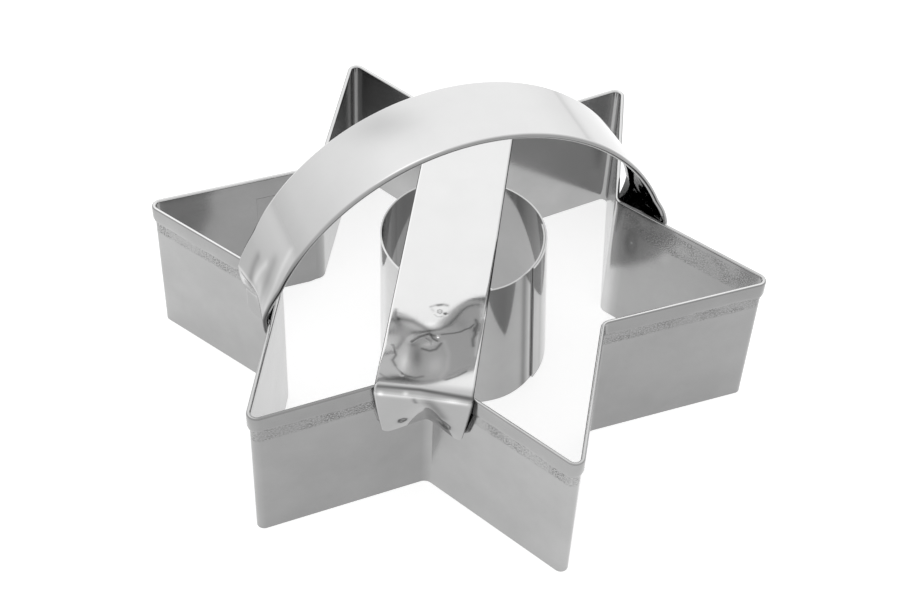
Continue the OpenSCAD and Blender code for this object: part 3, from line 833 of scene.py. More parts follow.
# Pieces
class CUTTER_OT_star_wall(bpy.types.Operator):
    """Builds the star wall: a strip bent to the star, with its rim hemmed outward."""

    bl_idname = "cutter.star_wall"
    bl_label = "Star wall"
    BEND_STEPS, WALL_STEPS, FOLD_STEPS, HEIGHT_STEPS = 12, 24, 10, 25
    SEAM_SUNK, SEAM_THIN, SEAM_TAPER = 0.02, 0.03, 2

    # Share of the sheet's colour on each wall, a painted shade or highlight for what the wall mirrors, from the wall
    # after the valley under the handle's right foot
    INSIDE = (1, 1.2, 0.95, 1.05, 0.78, 1, 1.12, 1, 1, 1, 1, 1.03)
    RIM = (1.4, 1.4, 1.4, 1.4, 1.4, 1.55, 1.2, 0.6, 1, 1.2, 1.6, 1)
    OUTSIDE = (1, 1, 1, 1, 1, 1, 1, 0.8, 1.06, 1, 0.8, 1)
    # Shares of the rim's half turn where it begins, where its painted highlight ends and where it ends itself,
    # how far the hem's face reaches past its depth in mm, and the painted shade of the rim's far side and of that
    # face
    RIM_FROM, RIM_BRIGHT, RIM_TO = 0.02, 0.6, 0.98
    HEM_REACH = 1
    RIM_BACK, HEM_FACE = 0.85, 0.9
    # The wall that lies in the handle's shade, and its painted shade by height
    TUCKED_WALL = 2
    TUCKED = ((4, 1.37), (12, 1.12), (18, 0.7))
    # Painted highlights and shade on the inside that stand in for reflections: place along and across, radii along
    # and across, turn, depth and shade
    PAINTED_REFLECTIONS = (
        (222.6, 12, 1.5, 40, 0, 0, -0.6),
        (309.4, 12, 1.6, 40, 0, 0, 0.35),
        (316, 20, 6, 10, 0, 0, 0.3),
        (203, 19, 6, 8, 0, 0, 0.1),
    )
    # Waves of the hem's lower edge: their share, their angle for each mm and at the start, in radians
    WAVES = ((1, 0.31, 0), (0.6, 0.83, 1), (0.4, 2.1, 2))
    # The hem's pressed edge: its place across the strip, as shares of the hem's depth, and mm above the lip
    LIP_PLACE, LIP_ROOM = (0.7, 1.6), 0.1

    def execute(self, context):
        size = sizes()
        plan, star, look = StarPlan(size), size.star, size.steel

        def dressing(make, place):
            return press_marks(make, place, plan, look.hem_press)

        material = steel(
            "satin_steel", look.satin, look.satin_rough,
            rough_spread=0.04, line_depth=0.002, stain_depth=0.05, dressing=dressing,
        )
        path = plan.path(self.BEND_STEPS, self.WALL_STEPS)
        section = rim_section(plan, self.FOLD_STEPS, self.HEIGHT_STEPS)
        piece = swept("star_strip", path, section, material, star.wall_h, lean=star.lean * 1j)
        self.tone_walls(piece.data, plan, path)
        self.waver_hem(piece.data, plan)
        join(piece, [self.seam_tongue(plan)])
        finish_piece(piece, "star_wall", material)
        return {"FINISHED"}

    def tone_walls(self, mesh, plan, path):
        """Gives each wall its painted shade or highlight, and the folded rim its painted highlight line."""
        along, across = strip_places(mesh)
        lengths = path_lengths(np.array([(p.real, p.imag) for p in path]))
        run = self.WALL_STEPS + self.BEND_STEPS
        starts = lengths[::run][:CORNERS + 1]
        ends = np.append(lengths[self.WALL_STEPS::run][:CORNERS], lengths[-1])
        knots = np.stack([starts, ends], 1).ravel()
        walls = [(SEAM_VALLEY + j) % CORNERS for j in range(CORNERS + 1)]
        inside, rim, outside = [
            np.interp(along, knots, np.repeat([shares[k] for k in walls], 2))
            for shares in (self.INSIDE, self.RIM, self.OUTSIDE)
        ]
        tucked = walls.index(self.TUCKED_WALL)
        on_tucked = (along > starts[tucked]) & (along < ends[tucked])
        painted_spots = SheetMarks(along, across)
        painted_spots.spots(self.PAINTED_REFLECTIONS)
        inside = inside * np.where(on_tucked, np.interp(across, *zip(*self.TUCKED)), 1) * (1 - painted_spots.shade)
        top = plan.star.wall_h - plan.fold_r
        turn = (across - top) / (math.pi * plan.fold_r)
        rim = np.where(turn < self.RIM_BRIGHT, rim, outside * self.RIM_BACK)
        places = [turn < self.RIM_FROM, turn < self.RIM_TO, across < top + plan.sheet.rim_hem + self.HEM_REACH]
        store(mesh, "marks_and_painted_shade", 1 - np.select(places, [inside, rim, outside * self.HEM_FACE], outside))

    def waver_hem(self, mesh, plan):
        """Lets the hem's lower edge waver as folded by hand."""
        along, across = strip_places(mesh)
        places = corners_of(mesh)
        start, end = (plan.star.wall_h + plan.sheet.rim_hem * part for part in self.LIP_PLACE)
        low = places[:, 2] < plan.rim_hem_z + plan.sheet.lip_h + self.LIP_ROOM
        on_lip = (across > start) & (across < end) & low
        wave = sum(amount * np.sin(along * pitch + phase) for amount, pitch, phase in self.WAVES)
        places[on_lip, 2] += plan.star.hem_waver * wave[on_lip]
        move_corners(mesh, places)

    def seam_tongue(self, plan):
        """The inner end of the strip, which steps in behind the outer end, is pressed thin and is welded to it."""
        t, star, sunk = plan.sheet.sheet_t, plan.star, self.SEAM_SUNK
        start, begin = plan.bend_take(SEAM_VALLEY), plan.seam_start()
        end = start + star.seam_inner
        outline = [
            (start, t / 4), (begin - t, sunk - t), (end - self.SEAM_TAPER, sunk - t), (end, -self.SEAM_THIN),
            (end, sunk), (begin - star.seam_slit / 2, sunk), (start, t * 3 / 4),
        ]
        top = star.wall_h - star.seam_drop
        levels = ((0, -t), (top - self.SEAM_TAPER, -t), (top, -self.SEAM_THIN))
        work = []
        for z, deepest in levels:
            for along, out in outline:
                p = plan.wall_point(SEAM_VALLEY, along, max(out, deepest))
                work.append(tuple(c * MM for c in plan.leaned((p.real, p.imag, z))))
        count, last = len(outline), len(work) - len(outline)
        faces = [tuple(range(count)), tuple(range(last + count - 1, last - 1, -1))]
        for low in range(0, last, count):
            for i in range(count):
                j = (i + 1) % count
                faces.append((low + i, low + j, low + count + j, low + count + i))
        mesh = bpy.data.meshes.new("seam_tongue")
        mesh.from_pydata(work, [], faces)
        store(mesh, "along", [start + p[0] / MM for p in work])
        store(mesh, "across", [p[2] / MM for p in work])
        store(mesh, "marks_and_painted_shade", [1 - self.INSIDE[SEAM_VALLEY]] * len(work))
        return turned_outward(mesh)


def strap_rows(places, section):
    """Rows of points across a strap, from its maker, its end and its share of the way; at end 1 left is right."""
    return [[point(end, -s if end else s, h, t) for s, h in section] for point, end, t in places]


class StrapPlan:
    """The two straps' lines, folds and arches over the star's plan; end 0 is right or back, and 1 left or front."""

    # The bridge's tabs are wholly soft, and the handle's feet have smaller corners than its solid
    TAB_SOFTNESS = 1
    FOOT_CORNER_SHARE = 0.62

    def __init__(self, size):
        self.plan = StarPlan(size)
        self.sheet, self.handle, self.bridge = size.sheet, size.handle, size.bridge
        self.hem_t = 2 * self.sheet.strap_t + self.sheet.hem_gap
        self.place_handle()
        self.place_bridge()

    def feet(self, middle, direction, valleys, **shape):
        """A strap's two feet, each in its valley on its own line outward, hung so that it clears the rim."""
        made = []
        for k, way in zip(valleys, (direction, -direction)):
            out = self.plan.hang_out(k, (middle, way), shape["width"], shape["vee_top"])
            made.append(SimpleNamespace(k=k, line=(middle, way), out=out, **shape))
        return made

    def place_handle(self):
        handle, lean = self.handle, self.handle.lean
        direction = cmath.rect(1, handle.turn)
        self.handle_feet = self.feet(
            handle.side * 1j * direction, direction, (HANDLE_RIGHT, HANDLE_LEFT),
            width=handle.width, vee_top=handle.foot_vee, length=handle.foot_len,
            corner_r=handle.foot_corner_r * self.FOOT_CORNER_SHARE, softness=0,
        )
        self.crease_z = self.plan.star.wall_h - handle.foot_crease
        right, left = (foot.out for foot in self.handle_feet)
        rise = handle.height - self.hem_t - self.crease_z
        self.arch_r = ((right + left) / 2 - rise * math.tan(lean)) * math.cos(lean) / (1 - math.sin(lean))
        self.arch_x = (right - left) / 2
        self.arch_z = handle.height - self.hem_t - self.arch_r
        self.leg_len = (rise - self.arch_r * (1 - math.sin(lean))) / math.cos(lean)

    def place_bridge(self):
        bridge, plan = self.bridge, self.plan
        front = plan.corner(BRIDGE_FRONT)
        direction = unit(plan.corner(BRIDGE_BACK) - front)
        self.bridge_feet = self.feet(
            front - dot(front, direction) * direction + bridge.side * 1j * direction,
            direction, (BRIDGE_BACK, BRIDGE_FRONT), width=bridge.width, vee_top=0,
            length=bridge.tab_len - bridge.bend_r, corner_r=bridge.tab_corner_r, softness=self.TAB_SOFTNESS,
        )
        self.bridge_z = plan.star.wall_h + self.sheet.weld_gap

    def handle_arc(self, end, s, h, a):
        reach = self.arch_r + h
        out, z = self.arch_x + reach * math.cos(a), self.arch_z + reach * math.sin(a)
        return line_point(self.handle_feet[end].line, s, out, z)

    def handle_leg(self, end, s, h, t):
        """Point of a leg at share t of the way down from the arc to the crease."""
        foot, lean, plan = self.handle_feet[end], self.handle.lean, self.plan
        vee = foot.vee_top * ease(t)
        v = plan.squeeze(foot.k, foot.line, s, vee)
        start = (-self.arch_x if end else self.arch_x) + self.arch_r * math.cos(lean)
        flat = start + t * self.leg_len * math.sin(lean) + h * math.cos(lean)
        z = self.arch_z + (self.arch_r + h) * math.sin(lean) - t * self.leg_len * math.cos(lean)
        near = plan.valley_reach(foot.k, foot.line, v, plan.hem_t + self.sheet.weld_gap + h, plan.LEG_VEE_R)
        return line_point(foot.line, v, mix(flat, near, vee), z)

    def handle_foot(self, end, s, h, t):
        top = self.crease_z + h * math.tan(self.handle.lean / 2) * (1 - t)
        return self.plan.foot_point(self.handle_feet[end], s, h, t, top)

    def handle_rows(self, section, foot_steps, leg_steps, arch_steps):
        """Rows of points along the handle for one face of its section, from right foot to left foot."""
        lean = self.handle.lean
        places = [(self.handle_foot, 0, 1 - i / foot_steps) for i in range(foot_steps + 1)]
        places += [(self.handle_leg, 0, 1 - i / leg_steps) for i in range(1, leg_steps)]
        places += [(self.handle_arc, 0, mix(lean, math.pi - lean, i / arch_steps)) for i in range(arch_steps + 1)]
        places += [(self.handle_leg, 1, i / leg_steps) for i in range(1, leg_steps)]
        places += [(self.handle_foot, 1, i / foot_steps) for i in range(foot_steps + 1)]
        return strap_rows(places, section)

    def bridge_foot(self, end, s, h, t):
        return self.plan.foot_point(self.bridge_feet[end], s, h, t, self.bridge_z - self.bridge.bend_r)

    def bridge_fold(self, end, s, h, a):
        """Point of the fold over the rim, where a is a right angle on the flat strap and 0 at the tab."""
        foot, bend_r = self.bridge_feet[end], self.bridge.bend_r
        out = foot.out - bend_r + (bend_r + h) * math.cos(a)
        return line_point(foot.line, s, out, self.bridge_z - bend_r + (bend_r + h) * math.sin(a))

    def bridge_rows(self, section, foot_steps, fold_steps, flat_shares):
        """Rows of points along the bridge for one face of its section, from back tab to front tab."""
        quarter = math.pi / 2
        back = [(self.bridge_foot, 0, 1 - i / foot_steps) for i in range(foot_steps)]
        back += [(self.bridge_fold, 0, quarter * i / fold_steps) for i in range(fold_steps + 1)]
        front = [(self.bridge_fold, 1, quarter * (1 - i / fold_steps)) for i in range(fold_steps + 1)]
        front += [(self.bridge_foot, 1, i / foot_steps) for i in range(1, foot_steps + 1)]
        back, front = strap_rows(back, section), strap_rows(front, section)
        flat = [mix(np.array(back[-1]), np.array(front[0]), share) for share in flat_shares]
        return [*back[:-1], *flat, *front]


def build_strap(operator, name, node, straps, section, rows, zero_row):
    """A strap's piece from its faces' rows, dented and marked and given its painted shade, highlights and reflections
    as its operator's tables say.
    """
    faces = np.array([rows(face) for face in section])
    marks, out = strap_marks(faces, section, zero_row)
    marks.spots(operator.DENTS_AND_PAINTED_SPOTS)
    marks.strokes(operator.CREASES_AND_PAINTED_BANDS)
    marks.shade_along(operator.PAINTED_SHADE_ALONG)
    faces -= marks.depth[None, ..., None] * out[None, :, None]
    under_shade = SheetMarks(marks.along, marks.across)
    under_shade.spots(operator.PAINTED_UNDER_SHADE)
    tones = strap_tones(marks, under_shade, section, straps.hem_t, *operator.EDGES)
    piece = link(name, sheet_mesh(name, faces, tones))
    look = sizes().steel
    material = steel(
        operator.STEEL, look.bright, look.bright_rough, rough_spread=0.015, line_depth=0.0004, stain_depth=0.02
    )
    finish_piece(piece, node, material)


class CUTTER_OT_handle_strap(bpy.types.Operator):
    """Builds the arched handle strap with its hems and creased feet."""

    bl_idname = "cutter.handle_strap"
    bl_label = "Handle strap"
    STEEL = "polished_handle"
    FOOT_STEPS, LEG_STEPS, ARCH_STEPS, FOLD_STEPS, ACROSS_STEPS = 40, 24, 110, 8, 56

    # Dents, creases and painted shade, highlights and reflections by distance up from the left crease and place to
    # the left of the middle, and painted shade and highlights of the folded edges
    EDGES = (-0.5, 0.6)
    # Painted shade along the handle, darkest near the left foot, for what the legs mirror
    PAINTED_SHADE_ALONG = ((-10, 0.36), (0, 0.42), (5, 0.4), (10, 0.28), (17, 0.02), (50, 0.05), (80, 0.05), (92, 0), (110, 0))
    CREASES_AND_PAINTED_BANDS = (
        (0.9, 0.03, 0.2, (0.6, 2.5), (2.5, 2.5), (5, 2.3)),
        (0.7, -0.01, -0.2, (1.2, 1), (3, 0.4), (6, -0.6)),
        (1.1, 0.03, 0.16, (1.6, -3.4), (4.5, -3), (8, -2.3)),
        (0.6, 0, -0.15, (2, -6.2), (8, -5), (12, -4.4)),
        (0.2, 0, -0.2, (0, 6.6), (0, 3), (0, -3)),
        (0.22, 0.03, 0.5, (-0.5, 5.4), (-0.8, 4), (-0.7, 2.4)),
        (1.6, 0, -0.42, (-2, 5), (-3, 4), (-5, 2)),
        (0.5, 0, 0.5, (-4.6, 3.4), (-6.6, 2.6)),
    )
    # Painted shade on the under side near the feet, with a painted highlight under the right foot
    PAINTED_UNDER_SHADE = ((95, 0, 12, 12, 0, 0, 0.9), (91.6, -0.4, 1.6, 1.1, 0, 0, -1.5), (-3, 0, 5, 12, 0, 0, 0.5))
    DENTS_AND_PAINTED_SPOTS = ((92.4, -0.9, 1.5, 1, 0, 0.25, 0), (34, 4, 5.5, 3.8, -35, 0, 0.24), (28, 2, 4, 8, 0, 0, 0.04))

    def execute(self, context):
        size = sizes()
        straps = StrapPlan(size)
        section = strap_section(size.sheet, straps.hem_t, size.handle.width, self.FOLD_STEPS, self.ACROSS_STEPS)

        def rows(face):
            return straps.handle_rows(face, self.FOOT_STEPS, self.LEG_STEPS, self.ARCH_STEPS)

        build_strap(self, "handle_arch", "handle_strap", straps, section, rows, -self.FOOT_STEPS - 1)
        return {"FINISHED"}


class CUTTER_OT_bridge_strap(bpy.types.Operator):
    """Builds the bridge strap with its hems, folded tabs, dents and weld marks."""

    bl_idname = "cutter.bridge_strap"
    bl_label = "Bridge strap"
    STEEL = "polished_bridge"
    FOOT_STEPS, BEND_STEPS, FOLD_STEPS, ACROSS_STEPS = 50, 8, 8, 100
    COARSE, FINE, FINE_FROM = 50, 190, 0.7

    # Dents, creases, weld marks and painted shade, highlights and reflections by distance in from the front fold and
    # place to the left of the middle, and painted shade and highlights of the folded edges
    EDGES = (-0.6, 0.7)
    PAINTED_UNDER_SHADE = ()
    # Painted shade along the bridge, darker on the front tab and just in from its fold
    PAINTED_SHADE_ALONG = ((-13, 0.3), (-3, 0.34), (-2, 0.34), (-1, 0.2), (0, 0.1), (0.8, 0.05), (1.6, 0), (60, 0))
    DENTS_AND_PAINTED_SPOTS = (
        (10.5, 7.5, 4.5, 3.8, 0, 0.27, 0),
        (15, -5.8, 4, 2.4, 0, 0.15, 0),
        (11.3, 0.2, 3.2, 2.4, 0, -0.09, 0),
        (12.9, -0.1, 0.8, 1.4, 0, 0, -0.4),
        (4.5, -0.5, 2, 3, 0, 0, -0.06),
        (6.2, 1, 3.8, 3.8, 0, 0.1, 0),
        (10, -0.9, 1.2, 0.8, 60, 0.05, 0),
        (4.9, 3.6, 2, 0.75, 5, -0.01, -0.38),
        (6.4, 1.9, 2.4, 0.75, 8, 0.01, 0.42),
        (5.2, -1.1, 2.2, 1.2, 0, 0, -0.28),
        (9.2, 0.5, 0.5, 1.2, 25, -0.01, -0.4),
        (10.6, 3.6, 0.9, 1.3, 0, 0, -0.12),
        (8.8, 2.9, 0.5, 0.8, 0, 0, 0.3),
        (11, -0.6, 0.25, 0.3, 0, -0.03, -0.7),
        (16.55, 0.9, 0.25, 0.5, -50, 0, 0.18),
        (15.95, -1.15, 0.24, 0.26, 0, 0.01, 0.9),
        (14.4, -3.9, 1.2, 0.8, 20, 0, 0.12),
        (-8.85, 3.55, 0.7, 0.8, 20, 0.02, 0.35),
        (-8.7, -3.7, 1.3, 1.3, 0, 0.02, 0.3),
        (-8.6, -3.1, 0.3, 0.4, 0, 0, -0.5),
        (-1.15, 6.3, 0.25, 0.4, 0, 0, -0.5),
        (-0.8, 2.6, 0.22, 0.4, 0, 0, -0.5),
        (-1.05, -4.4, 0.25, 1.2, 0, 0, -0.45),
        (-8, -2.5, 0.5, 0.4, -20, 0, -0.3),
    )
    CREASES_AND_PAINTED_BANDS = (
        (0.14, 0, 0.6, (11.5, -1.1), (12.2, -3.1), (12.7, -4), (13.4, -4.6), (13.7, -5.2), (14.6, -5.7)),
        (0.5, 0, 0.45, (14, 5.6), (13.7, 3.6), (12.9, 2.2), (12, 0.9)),
        (0.3, 0, 0.4, (15.8, 6.5), (14.6, 6.4), (13.8, 5.8)),
        (0.2, 0.01, 0.6, (9.4, 3.1), (10.6, 2.1), (11.4, 0.7), (11, -0.2)),
        (0.2, 0, 0.6, (8.2, 1.4), (7.9, 0.2), (8.4, -0.7), (9.7, -1.3)),
        (0.12, 0, 0.4, (10.4, 1.1), (9.9, 0.3), (9.2, 0.2)),
        (0.16, 0.01, 0.7, (11.1, 0.5), (10.4, 0), (10.1, -0.7)),
        (0.16, 0.01, 0.3, (8.3, 5.9), (6.5, 5.1), (5.2, 5.4), (3.7, 4.6), (2.4, 3.6)),
        (0.3, 0, 0.25, (7, 5.3), (6.2, 5.1), (5.2, 5.5), (4.2, 4.9)),
        (0.15, 0, 0.5, (2.4, 3.2), (2.1, 1.6), (2.6, 0.5)),
        (0.15, 0, 0.55, (2.4, -2.9), (3.5, -4.6), (4.6, -5.7)),
        (0.14, 0, 0.4, (2.1, 6.8), (1.2, 5.6), (1.2, 4.6)),
        (0.4, 0, -0.14, (10.2, -1.7), (7.7, -2.7), (5.1, -2.8), (2.4, -2.2)),
        (1.1, 0, 0.28, (0.4, 6.9), (0.2, 0), (0.3, -6.9)),
        (0.4, 0, -0.3, (1.5, 6.6), (1.3, 4.8)),
        (0.22, 0, 0.32, (17.2, 1.3), (17.7, 0.5), (17.9, -0.3)),
        (0.28, 0, 0.45, (17.7, 0.2), (18, -0.6), (17.9, -1.2)),
        (
            0.12, 0, 0.5,
            (16.8, -0.2), (16.6, 0.1), (16.1, 0.05), (15.95, -0.35), (16.3, -0.6), (16.7, -0.5), (16.8, -0.2),
        ),
        (0.15, 0, 0.35, (16.4, -0.3), (16.3, -0.2)),
        (0.11, 0, 0.25, (15.6, 0.5), (15.2, 0), (15.25, -0.5), (15.5, -0.8)),
        (0.28, 0, 0.5, (15.6, -5.9), (14.6, -6.3), (13.6, -5.9), (12.5, -6.2), (11.5, -5.9), (10, -6.1)),
        (0.5, 0, -0.6, (18.9, -6.7), (17.6, -6.8), (16.4, -7)),
        (0.25, 0, -0.3, (16, -6.7), (12.5, -6.6), (8, -6.7)),
        (0.3, 0.06, 0.5, (-0.3, 6.9), (-0.1, 0.6), (-0.3, -3.1), (-0.5, -6.9)),
        (0.25, -0.03, -0.3, (-1.2, 6.5), (-1.0, 0), (-1.2, -6.5)),
        (1.1, 0, 0.4, (-2.2, -0.9), (-3.6, -1.6), (-6.2, -2.9)),
        (0.35, 0, 0.35, (-1.6, 1.3), (-2.6, 1.1)),
        (0.16, 0, 0.6, (-8.4, 4.1), (-8.2, 3.4), (-8.6, 2.9), (-9.2, 3.1), (-9.5, 3.8), (-9.1, 4.2), (-8.4, 4.1)),
        (0.14, 0, 0.35, (-8.7, 3.9), (-9, 3.3)),
        (
            0.15, 0, 0.65,
            (-7.5, -2.6), (-7.6, -3.6), (-8.3, -4.6), (-9.3, -4.6), (-9.9, -3.9), (-9.6, -3.1), (-8.8, -2.6),
        ),
        (0.16, 0, 0.6, (-8.4, -3.1), (-8.9, -3.5), (-9.4, -3.4), (-9.1, -4.2)),
        (0.14, 0, 0.4, (-7.9, -3.6), (-8.6, -4.1)),
    )

    def execute(self, context):
        size = sizes()
        straps = StrapPlan(size)
        section = strap_section(size.sheet, straps.hem_t, size.bridge.width, self.FOLD_STEPS, self.ACROSS_STEPS)
        shares = np.concatenate([
            np.linspace(0, self.FINE_FROM, self.COARSE, endpoint=False),
            np.linspace(self.FINE_FROM, 1, self.FINE, endpoint=False),
        ])

        def rows(face):
            return straps.bridge_rows(face, self.FOOT_STEPS, self.BEND_STEPS, shares)

        zero_row = -self.FOOT_STEPS - self.BEND_STEPS - 1
        build_strap(self, "bridge_band", "bridge_strap", straps, section, rows, zero_row)
        return {"FINISHED"}


class RingPlan:
    """The ring's strip, which springs inward where it runs under its own outer end."""

    # Angles over which the strip springs in and its overlap is flattened
    SPRING_EASE, FLAT_EASE = math.radians(30), math.radians(60)
    # The tabs, in mm: how much thinner they are, how deep they sink into the wall and start below its rim,
    # their bend, and their room beside the bridge's hems
    TAB_THIN, SUNK, TAB_ROOT, TAB_BEND_R, TAB_ROOM = 0.04, 0.02, 1, 0.1, 0.2
    TAB_BEND_STEPS = 4

    def __init__(self, size):
        self.size, self.straps, self.sheet = size.ring, StrapPlan(size), size.sheet
        self.radius = self.size.diameter / 2
        self.middle = complex(self.size.middle_x, self.size.middle_y)
        self.top = self.straps.bridge_z - self.sheet.weld_gap
        self.inner_end = self.size.lap_at + self.size.lap_angle

    def plan_radius(self, a):
        """Inside radius of the strip at the rim, at angle a."""
        ring = self.size
        off = abs((a - ring.lap_at - ring.lap_angle / 2 + math.pi) % math.tau - math.pi)
        flat = ring.lap_flat * ease(1 - off / self.FLAT_EASE)
        spring = (self.sheet.sheet_t + ring.lap_gap) * (1 - ease((ring.lap_at - a) / self.SPRING_EASE))
        return self.radius - flat - spring

    def point(self, a, h, z):
        down = 1 - z / self.top
        p = self.middle + self.size.lean * down + cmath.rect(self.plan_radius(a) + self.size.flare * down + h, a)
        return p.real, p.imag, z

    def path(self, steps):
        """The strip's inside face in plan at the rim, clockwise from its inner end."""
        angles = [mix(self.inner_end, self.size.lap_at - math.tau, i / steps) for i in range(steps + 1)]
        return [self.middle + cmath.rect(self.plan_radius(a), a) for a in angles]

    def tab(self, line, steps):
        """Mesh of a tab that bends out under the bridge, between the bridge's own hems."""
        middle, direction = line
        sheet, bend_r = self.sheet, self.TAB_BEND_R
        half = self.straps.bridge.width / 2 - sheet.strap_hem - self.TAB_ROOM
        thick = sheet.sheet_t - self.TAB_THIN
        bend_z = self.straps.bridge_z + sheet.strap_t + sheet.hem_gap - sheet.weld_gap - thick - bend_r
        at = cmath.phase(direction)
        along = at - math.tau if at > self.inner_end else at
        side = dot(self.middle - middle, 1j * direction)
        start, end = (along + math.asin((edge - side) / self.radius) for edge in (-half, half))
        faces = [[], []]
        for i in range(steps + 1):
            a = mix(start, end, i / steps)
            rim = self.point(a, 0, self.top)
            root = self.point(a, sheet.sheet_t - self.SUNK, self.top)
            out_end = self.radius + self.size.tab_len - dot(complex(*rim[:2]) - self.middle, direction)
            for face in (0, 1):
                r = bend_r + (1 - face) * thick
                bends = arc_points(bend_r, bend_z, r, 180, 90, self.TAB_BEND_STEPS) + [(out_end, bend_z + r)]
                row = [self.point(a, self.SUNK + face * thick, self.top - self.TAB_ROOT)]
                row += [(root[0] + e * direction.real, root[1] + e * direction.imag, z) for e, z in bends]
                faces[face].append(row)
        return sheet_mesh("ring_tab", faces)


class CUTTER_OT_centre_ring(bpy.types.Operator):
    """Builds the centre ring: a strip rolled round over itself, with two tabs under the bridge."""

    bl_idname = "cutter.centre_ring"
    bl_label = "Centre ring"
    ROUND_STEPS, HEIGHT_STEPS, TAB_STEPS = 260, 6, 16
    # Painted shade and highlights by distance along the strip from its inner end, and painted streaks by their place,
    # width and shade
    OUTSIDE = ((8, 0.1), (18, 0.15), (24, 0), (31, -0.38), (42, -0.38), (50, 0))
    INSIDE = ((42, 0), (47, 0.38), (56, 0.38), (62, 0.1), (70, 0))
    STREAKS = ((13.3, 0.7, 0.42), (12, 0.2, -0.25), (11.3, 0.2, 0.25), (94.6, 0.5, 0.2), (41, 1, -0.2))
    INNER_STREAKS = ((49, 0.4, 0.15), (51.5, 0.5, -0.15), (53.5, 0.3, 0.12))

    def execute(self, context):
        size = sizes()
        ring, look, t = RingPlan(size), size.steel, size.sheet.sheet_t
        material = steel(
            "polished_ring", look.rolled, look.rolled_rough, rough_spread=0.03, line_depth=0.001, stain_depth=0.04
        )
        heights = [ring.top * i / self.HEIGHT_STEPS for i in range(self.HEIGHT_STEPS + 1)]
        section = [(t, z) for z in heights] + [(0, z) for z in reversed(heights)]
        piece = swept(
            "ring_band", ring.path(self.ROUND_STEPS), section, material,
            height=ring.top, centre=ring.middle, flare=size.ring.flare, lean=size.ring.lean,
        )
        self.tone_ring(piece.data, ring)
        join(piece, [ring.tab(foot.line, self.TAB_STEPS) for foot in ring.straps.bridge_feet])
        finish_piece(piece, "centre_ring", material)
        return {"FINISHED"}

    def tone_ring(self, mesh, ring):
        """Gives the ring painted bands and streaks of shade and highlight."""
        along, across = strip_places(mesh)
        outer = across > ring.top + ring.sheet.sheet_t / 2
        shade = np.where(outer, np.interp(along, *zip(*self.OUTSIDE)), np.interp(along, *zip(*self.INSIDE)))
        for rows, on in ((self.STREAKS, outer), (self.INNER_STREAKS, ~outer)):
            for place, width, depth in rows:
                shade += on * depth * np.exp(-(((along - place) / width) ** 2))
        store(mesh, "marks_and_painted_shade", shade)


# Studio
def seen_or_mirrored(make):
    """1 for camera rays and for rays mirrored or let through, which also show the white studio."""
    rays = make.add("ShaderNodeLightPath").outputs
    some = make.math("MAXIMUM", rays["Is Camera Ray"], rays["Is Glossy Ray"])
    return make.math("MAXIMUM", some, rays["Is Transmission Ray"])


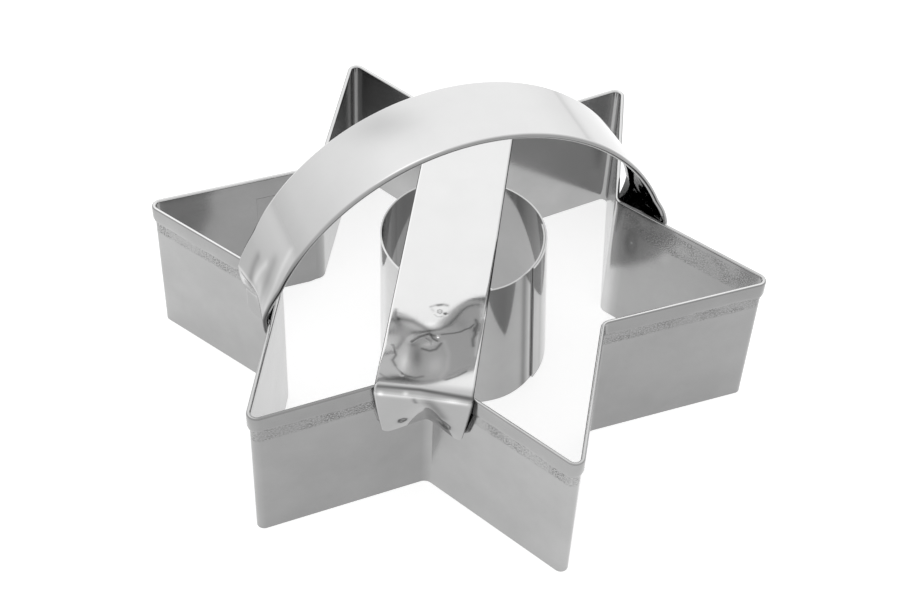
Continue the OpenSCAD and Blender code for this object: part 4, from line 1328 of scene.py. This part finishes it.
class CUTTER_OT_studio(bpy.types.Operator):
    """Sets the camera, the pale floor, the soft lamps and the white surroundings."""

    bl_idname = "cutter.studio"
    bl_label = "Studio"
    # The pale floor, in metres: its segments, its depth below the cutting edges, and where its glow fades from and to
    FLOOR_SEGMENTS, FLOOR_DROP = 96, 0.00005
    FADE, GLOW = (0.3, 0.9), (0.75, 0.52)
    # The brighter side of the studio, as a direction, with its edge and middle as cosines and their strengths
    BRIGHT_SIDE = (0.28, 0.63, 0.72)
    BRIGHT_EDGE, BRIGHTNESS = (0.3, 0.95), (1.0, 1.42)
    # The wide lamp, in metres
    KEY_PLACE, KEY_WIDTH = (-0.25, 0.35, 0.9), 0.6
    WHITE = (1, 1, 1, 1)
    SENSOR_WIDTH, CLIP = 36, (0.01, 10)

    def execute(self, context):
        size = sizes().studio
        self.camera(size)
        self.floor(size)
        self.world(size)
        self.lamps(size)
        context.scene.view_settings.view_transform = "Standard"
        return {"FINISHED"}

    def camera(self, size):
        ahead = Vector((
            math.sin(size.bearing) * math.cos(size.down),
            math.cos(size.bearing) * math.cos(size.down),
            -math.sin(size.down),
        ))
        level = ahead.cross(Vector((0, 0, 1))).normalized()
        upright = level.cross(ahead)
        right = level * math.cos(size.roll) + upright * math.sin(size.roll)
        turned = Matrix((right, right.cross(ahead), -ahead)).transposed().to_4x4()
        data = bpy.data.cameras.new("camera")
        data.sensor_width, data.lens = self.SENSOR_WIDTH, size.lens
        data.clip_start, data.clip_end = self.CLIP
        camera = link("camera", data)
        place = Vector((size.camera_x, size.camera_y, size.camera_z)) * MM
        camera.matrix_world = Matrix.Translation(place) @ turned
        bpy.context.scene.camera = camera

    def floor(self, size):
        work = bmesh.new()
        bmesh.ops.create_circle(work, cap_ends=True, segments=self.FLOOR_SEGMENTS, radius=size.floor_r * MM)
        bmesh.ops.translate(work, verts=work.verts, vec=(0, 0, -self.FLOOR_DROP))
        mesh = bpy.data.meshes.new("floor")
        work.to_mesh(mesh)
        work.free()
        material = bpy.data.materials.new("pale_floor")
        make = own_tree(material)
        paper = make.add("ShaderNodeBsdfDiffuse", {"Color": (*size.floor[:3], 1)})
        away = make.vector("LENGTH", make.add("ShaderNodeTexCoord").outputs["Object"])
        lift = make.math("MULTIPLY", seen_or_mirrored(make), make.ramp(away, *self.FADE, *self.GLOW))
        glow = make.add("ShaderNodeEmission", {"Color": self.WHITE, "Strength": lift})
        both = make.add("ShaderNodeAddShader", {0: paper, 1: glow})
        make.add("ShaderNodeOutputMaterial", {"Surface": both})
        mesh.materials.append(material)
        link("floor", mesh)

    def world(self, size):
        world = bpy.data.worlds.new("white_studio")
        bpy.context.scene.world = world
        make = own_tree(world)
        strength = make.ramp(seen_or_mirrored(make), 0.0, 1.0, size.world, 1.0)
        toward = make.add("ShaderNodeTexCoord").outputs["Generated"]
        side = make.vector("DOT_PRODUCT", toward, self.BRIGHT_SIDE)
        soft = make.ramp(side, *self.BRIGHT_EDGE, *self.BRIGHTNESS, smooth=True)
        total = make.math("MULTIPLY", strength, soft)
        light = make.add("ShaderNodeBackground", {"Color": self.WHITE, "Strength": total})
        make.add("ShaderNodeOutputWorld", {"Surface": light})

    def lamps(self, size):
        data = bpy.data.lights.new("key", "AREA")
        data.shape, data.size, data.energy = "DISK", self.KEY_WIDTH, size.key
        lamp = link("key", data)
        lamp.location = self.KEY_PLACE
        lamp.rotation_mode = "QUATERNION"
        lamp.rotation_quaternion = (-lamp.location).to_track_quat("-Z", "Y")


class CUTTER_PT_panel(bpy.types.Panel):
    """Lists the cutter's pieces and sizes."""

    bl_idname = "CUTTER_PT_panel"
    bl_label = "Star cookie cutter"
    bl_space_type = "VIEW_3D"
    bl_region_type = "UI"
    bl_category = "Cutter"

    def draw(self, context):
        for operator in PIECE_OPERATORS:
            self.layout.operator(operator.bl_idname)
        for name in LOOK_GROUPS:
            group = getattr(context.scene, "cutter_" + name)
            box = self.layout.box()
            box.label(text=name.capitalize())
            for prop in type(group).__annotations__:
                box.prop(group, prop)


PIECE_OPERATORS = (
    CUTTER_OT_studio,
    CUTTER_OT_star_wall,
    CUTTER_OT_centre_ring,
    CUTTER_OT_bridge_strap,
    CUTTER_OT_handle_strap,
)
GROUPS = dict(zip(
    LOOK_GROUPS, (CutterSheet, CutterStar, CutterHandle, CutterBridge, CutterRing, CutterSteel, CutterStudio)
))


def register():
    for cls in (*GROUPS.values(), *PIECE_OPERATORS, CUTTER_PT_panel):
        bpy.utils.register_class(cls)
    for name, group in GROUPS.items():
        setattr(bpy.types.Scene, "cutter_" + name, bpy.props.PointerProperty(type=group))


def unregister():
    for name in GROUPS:
        delattr(bpy.types.Scene, "cutter_" + name)
    for cls in (CUTTER_PT_panel, *reversed(PIECE_OPERATORS), *GROUPS.values()):
        bpy.utils.unregister_class(cls)


def main():
    register()
    bpy.ops.cutter.studio()
    bpy.ops.cutter.star_wall()
    bpy.ops.cutter.centre_ring()
    bpy.ops.cutter.bridge_strap()
    bpy.ops.cutter.handle_strap()


if __name__ == "__main__":
    main()
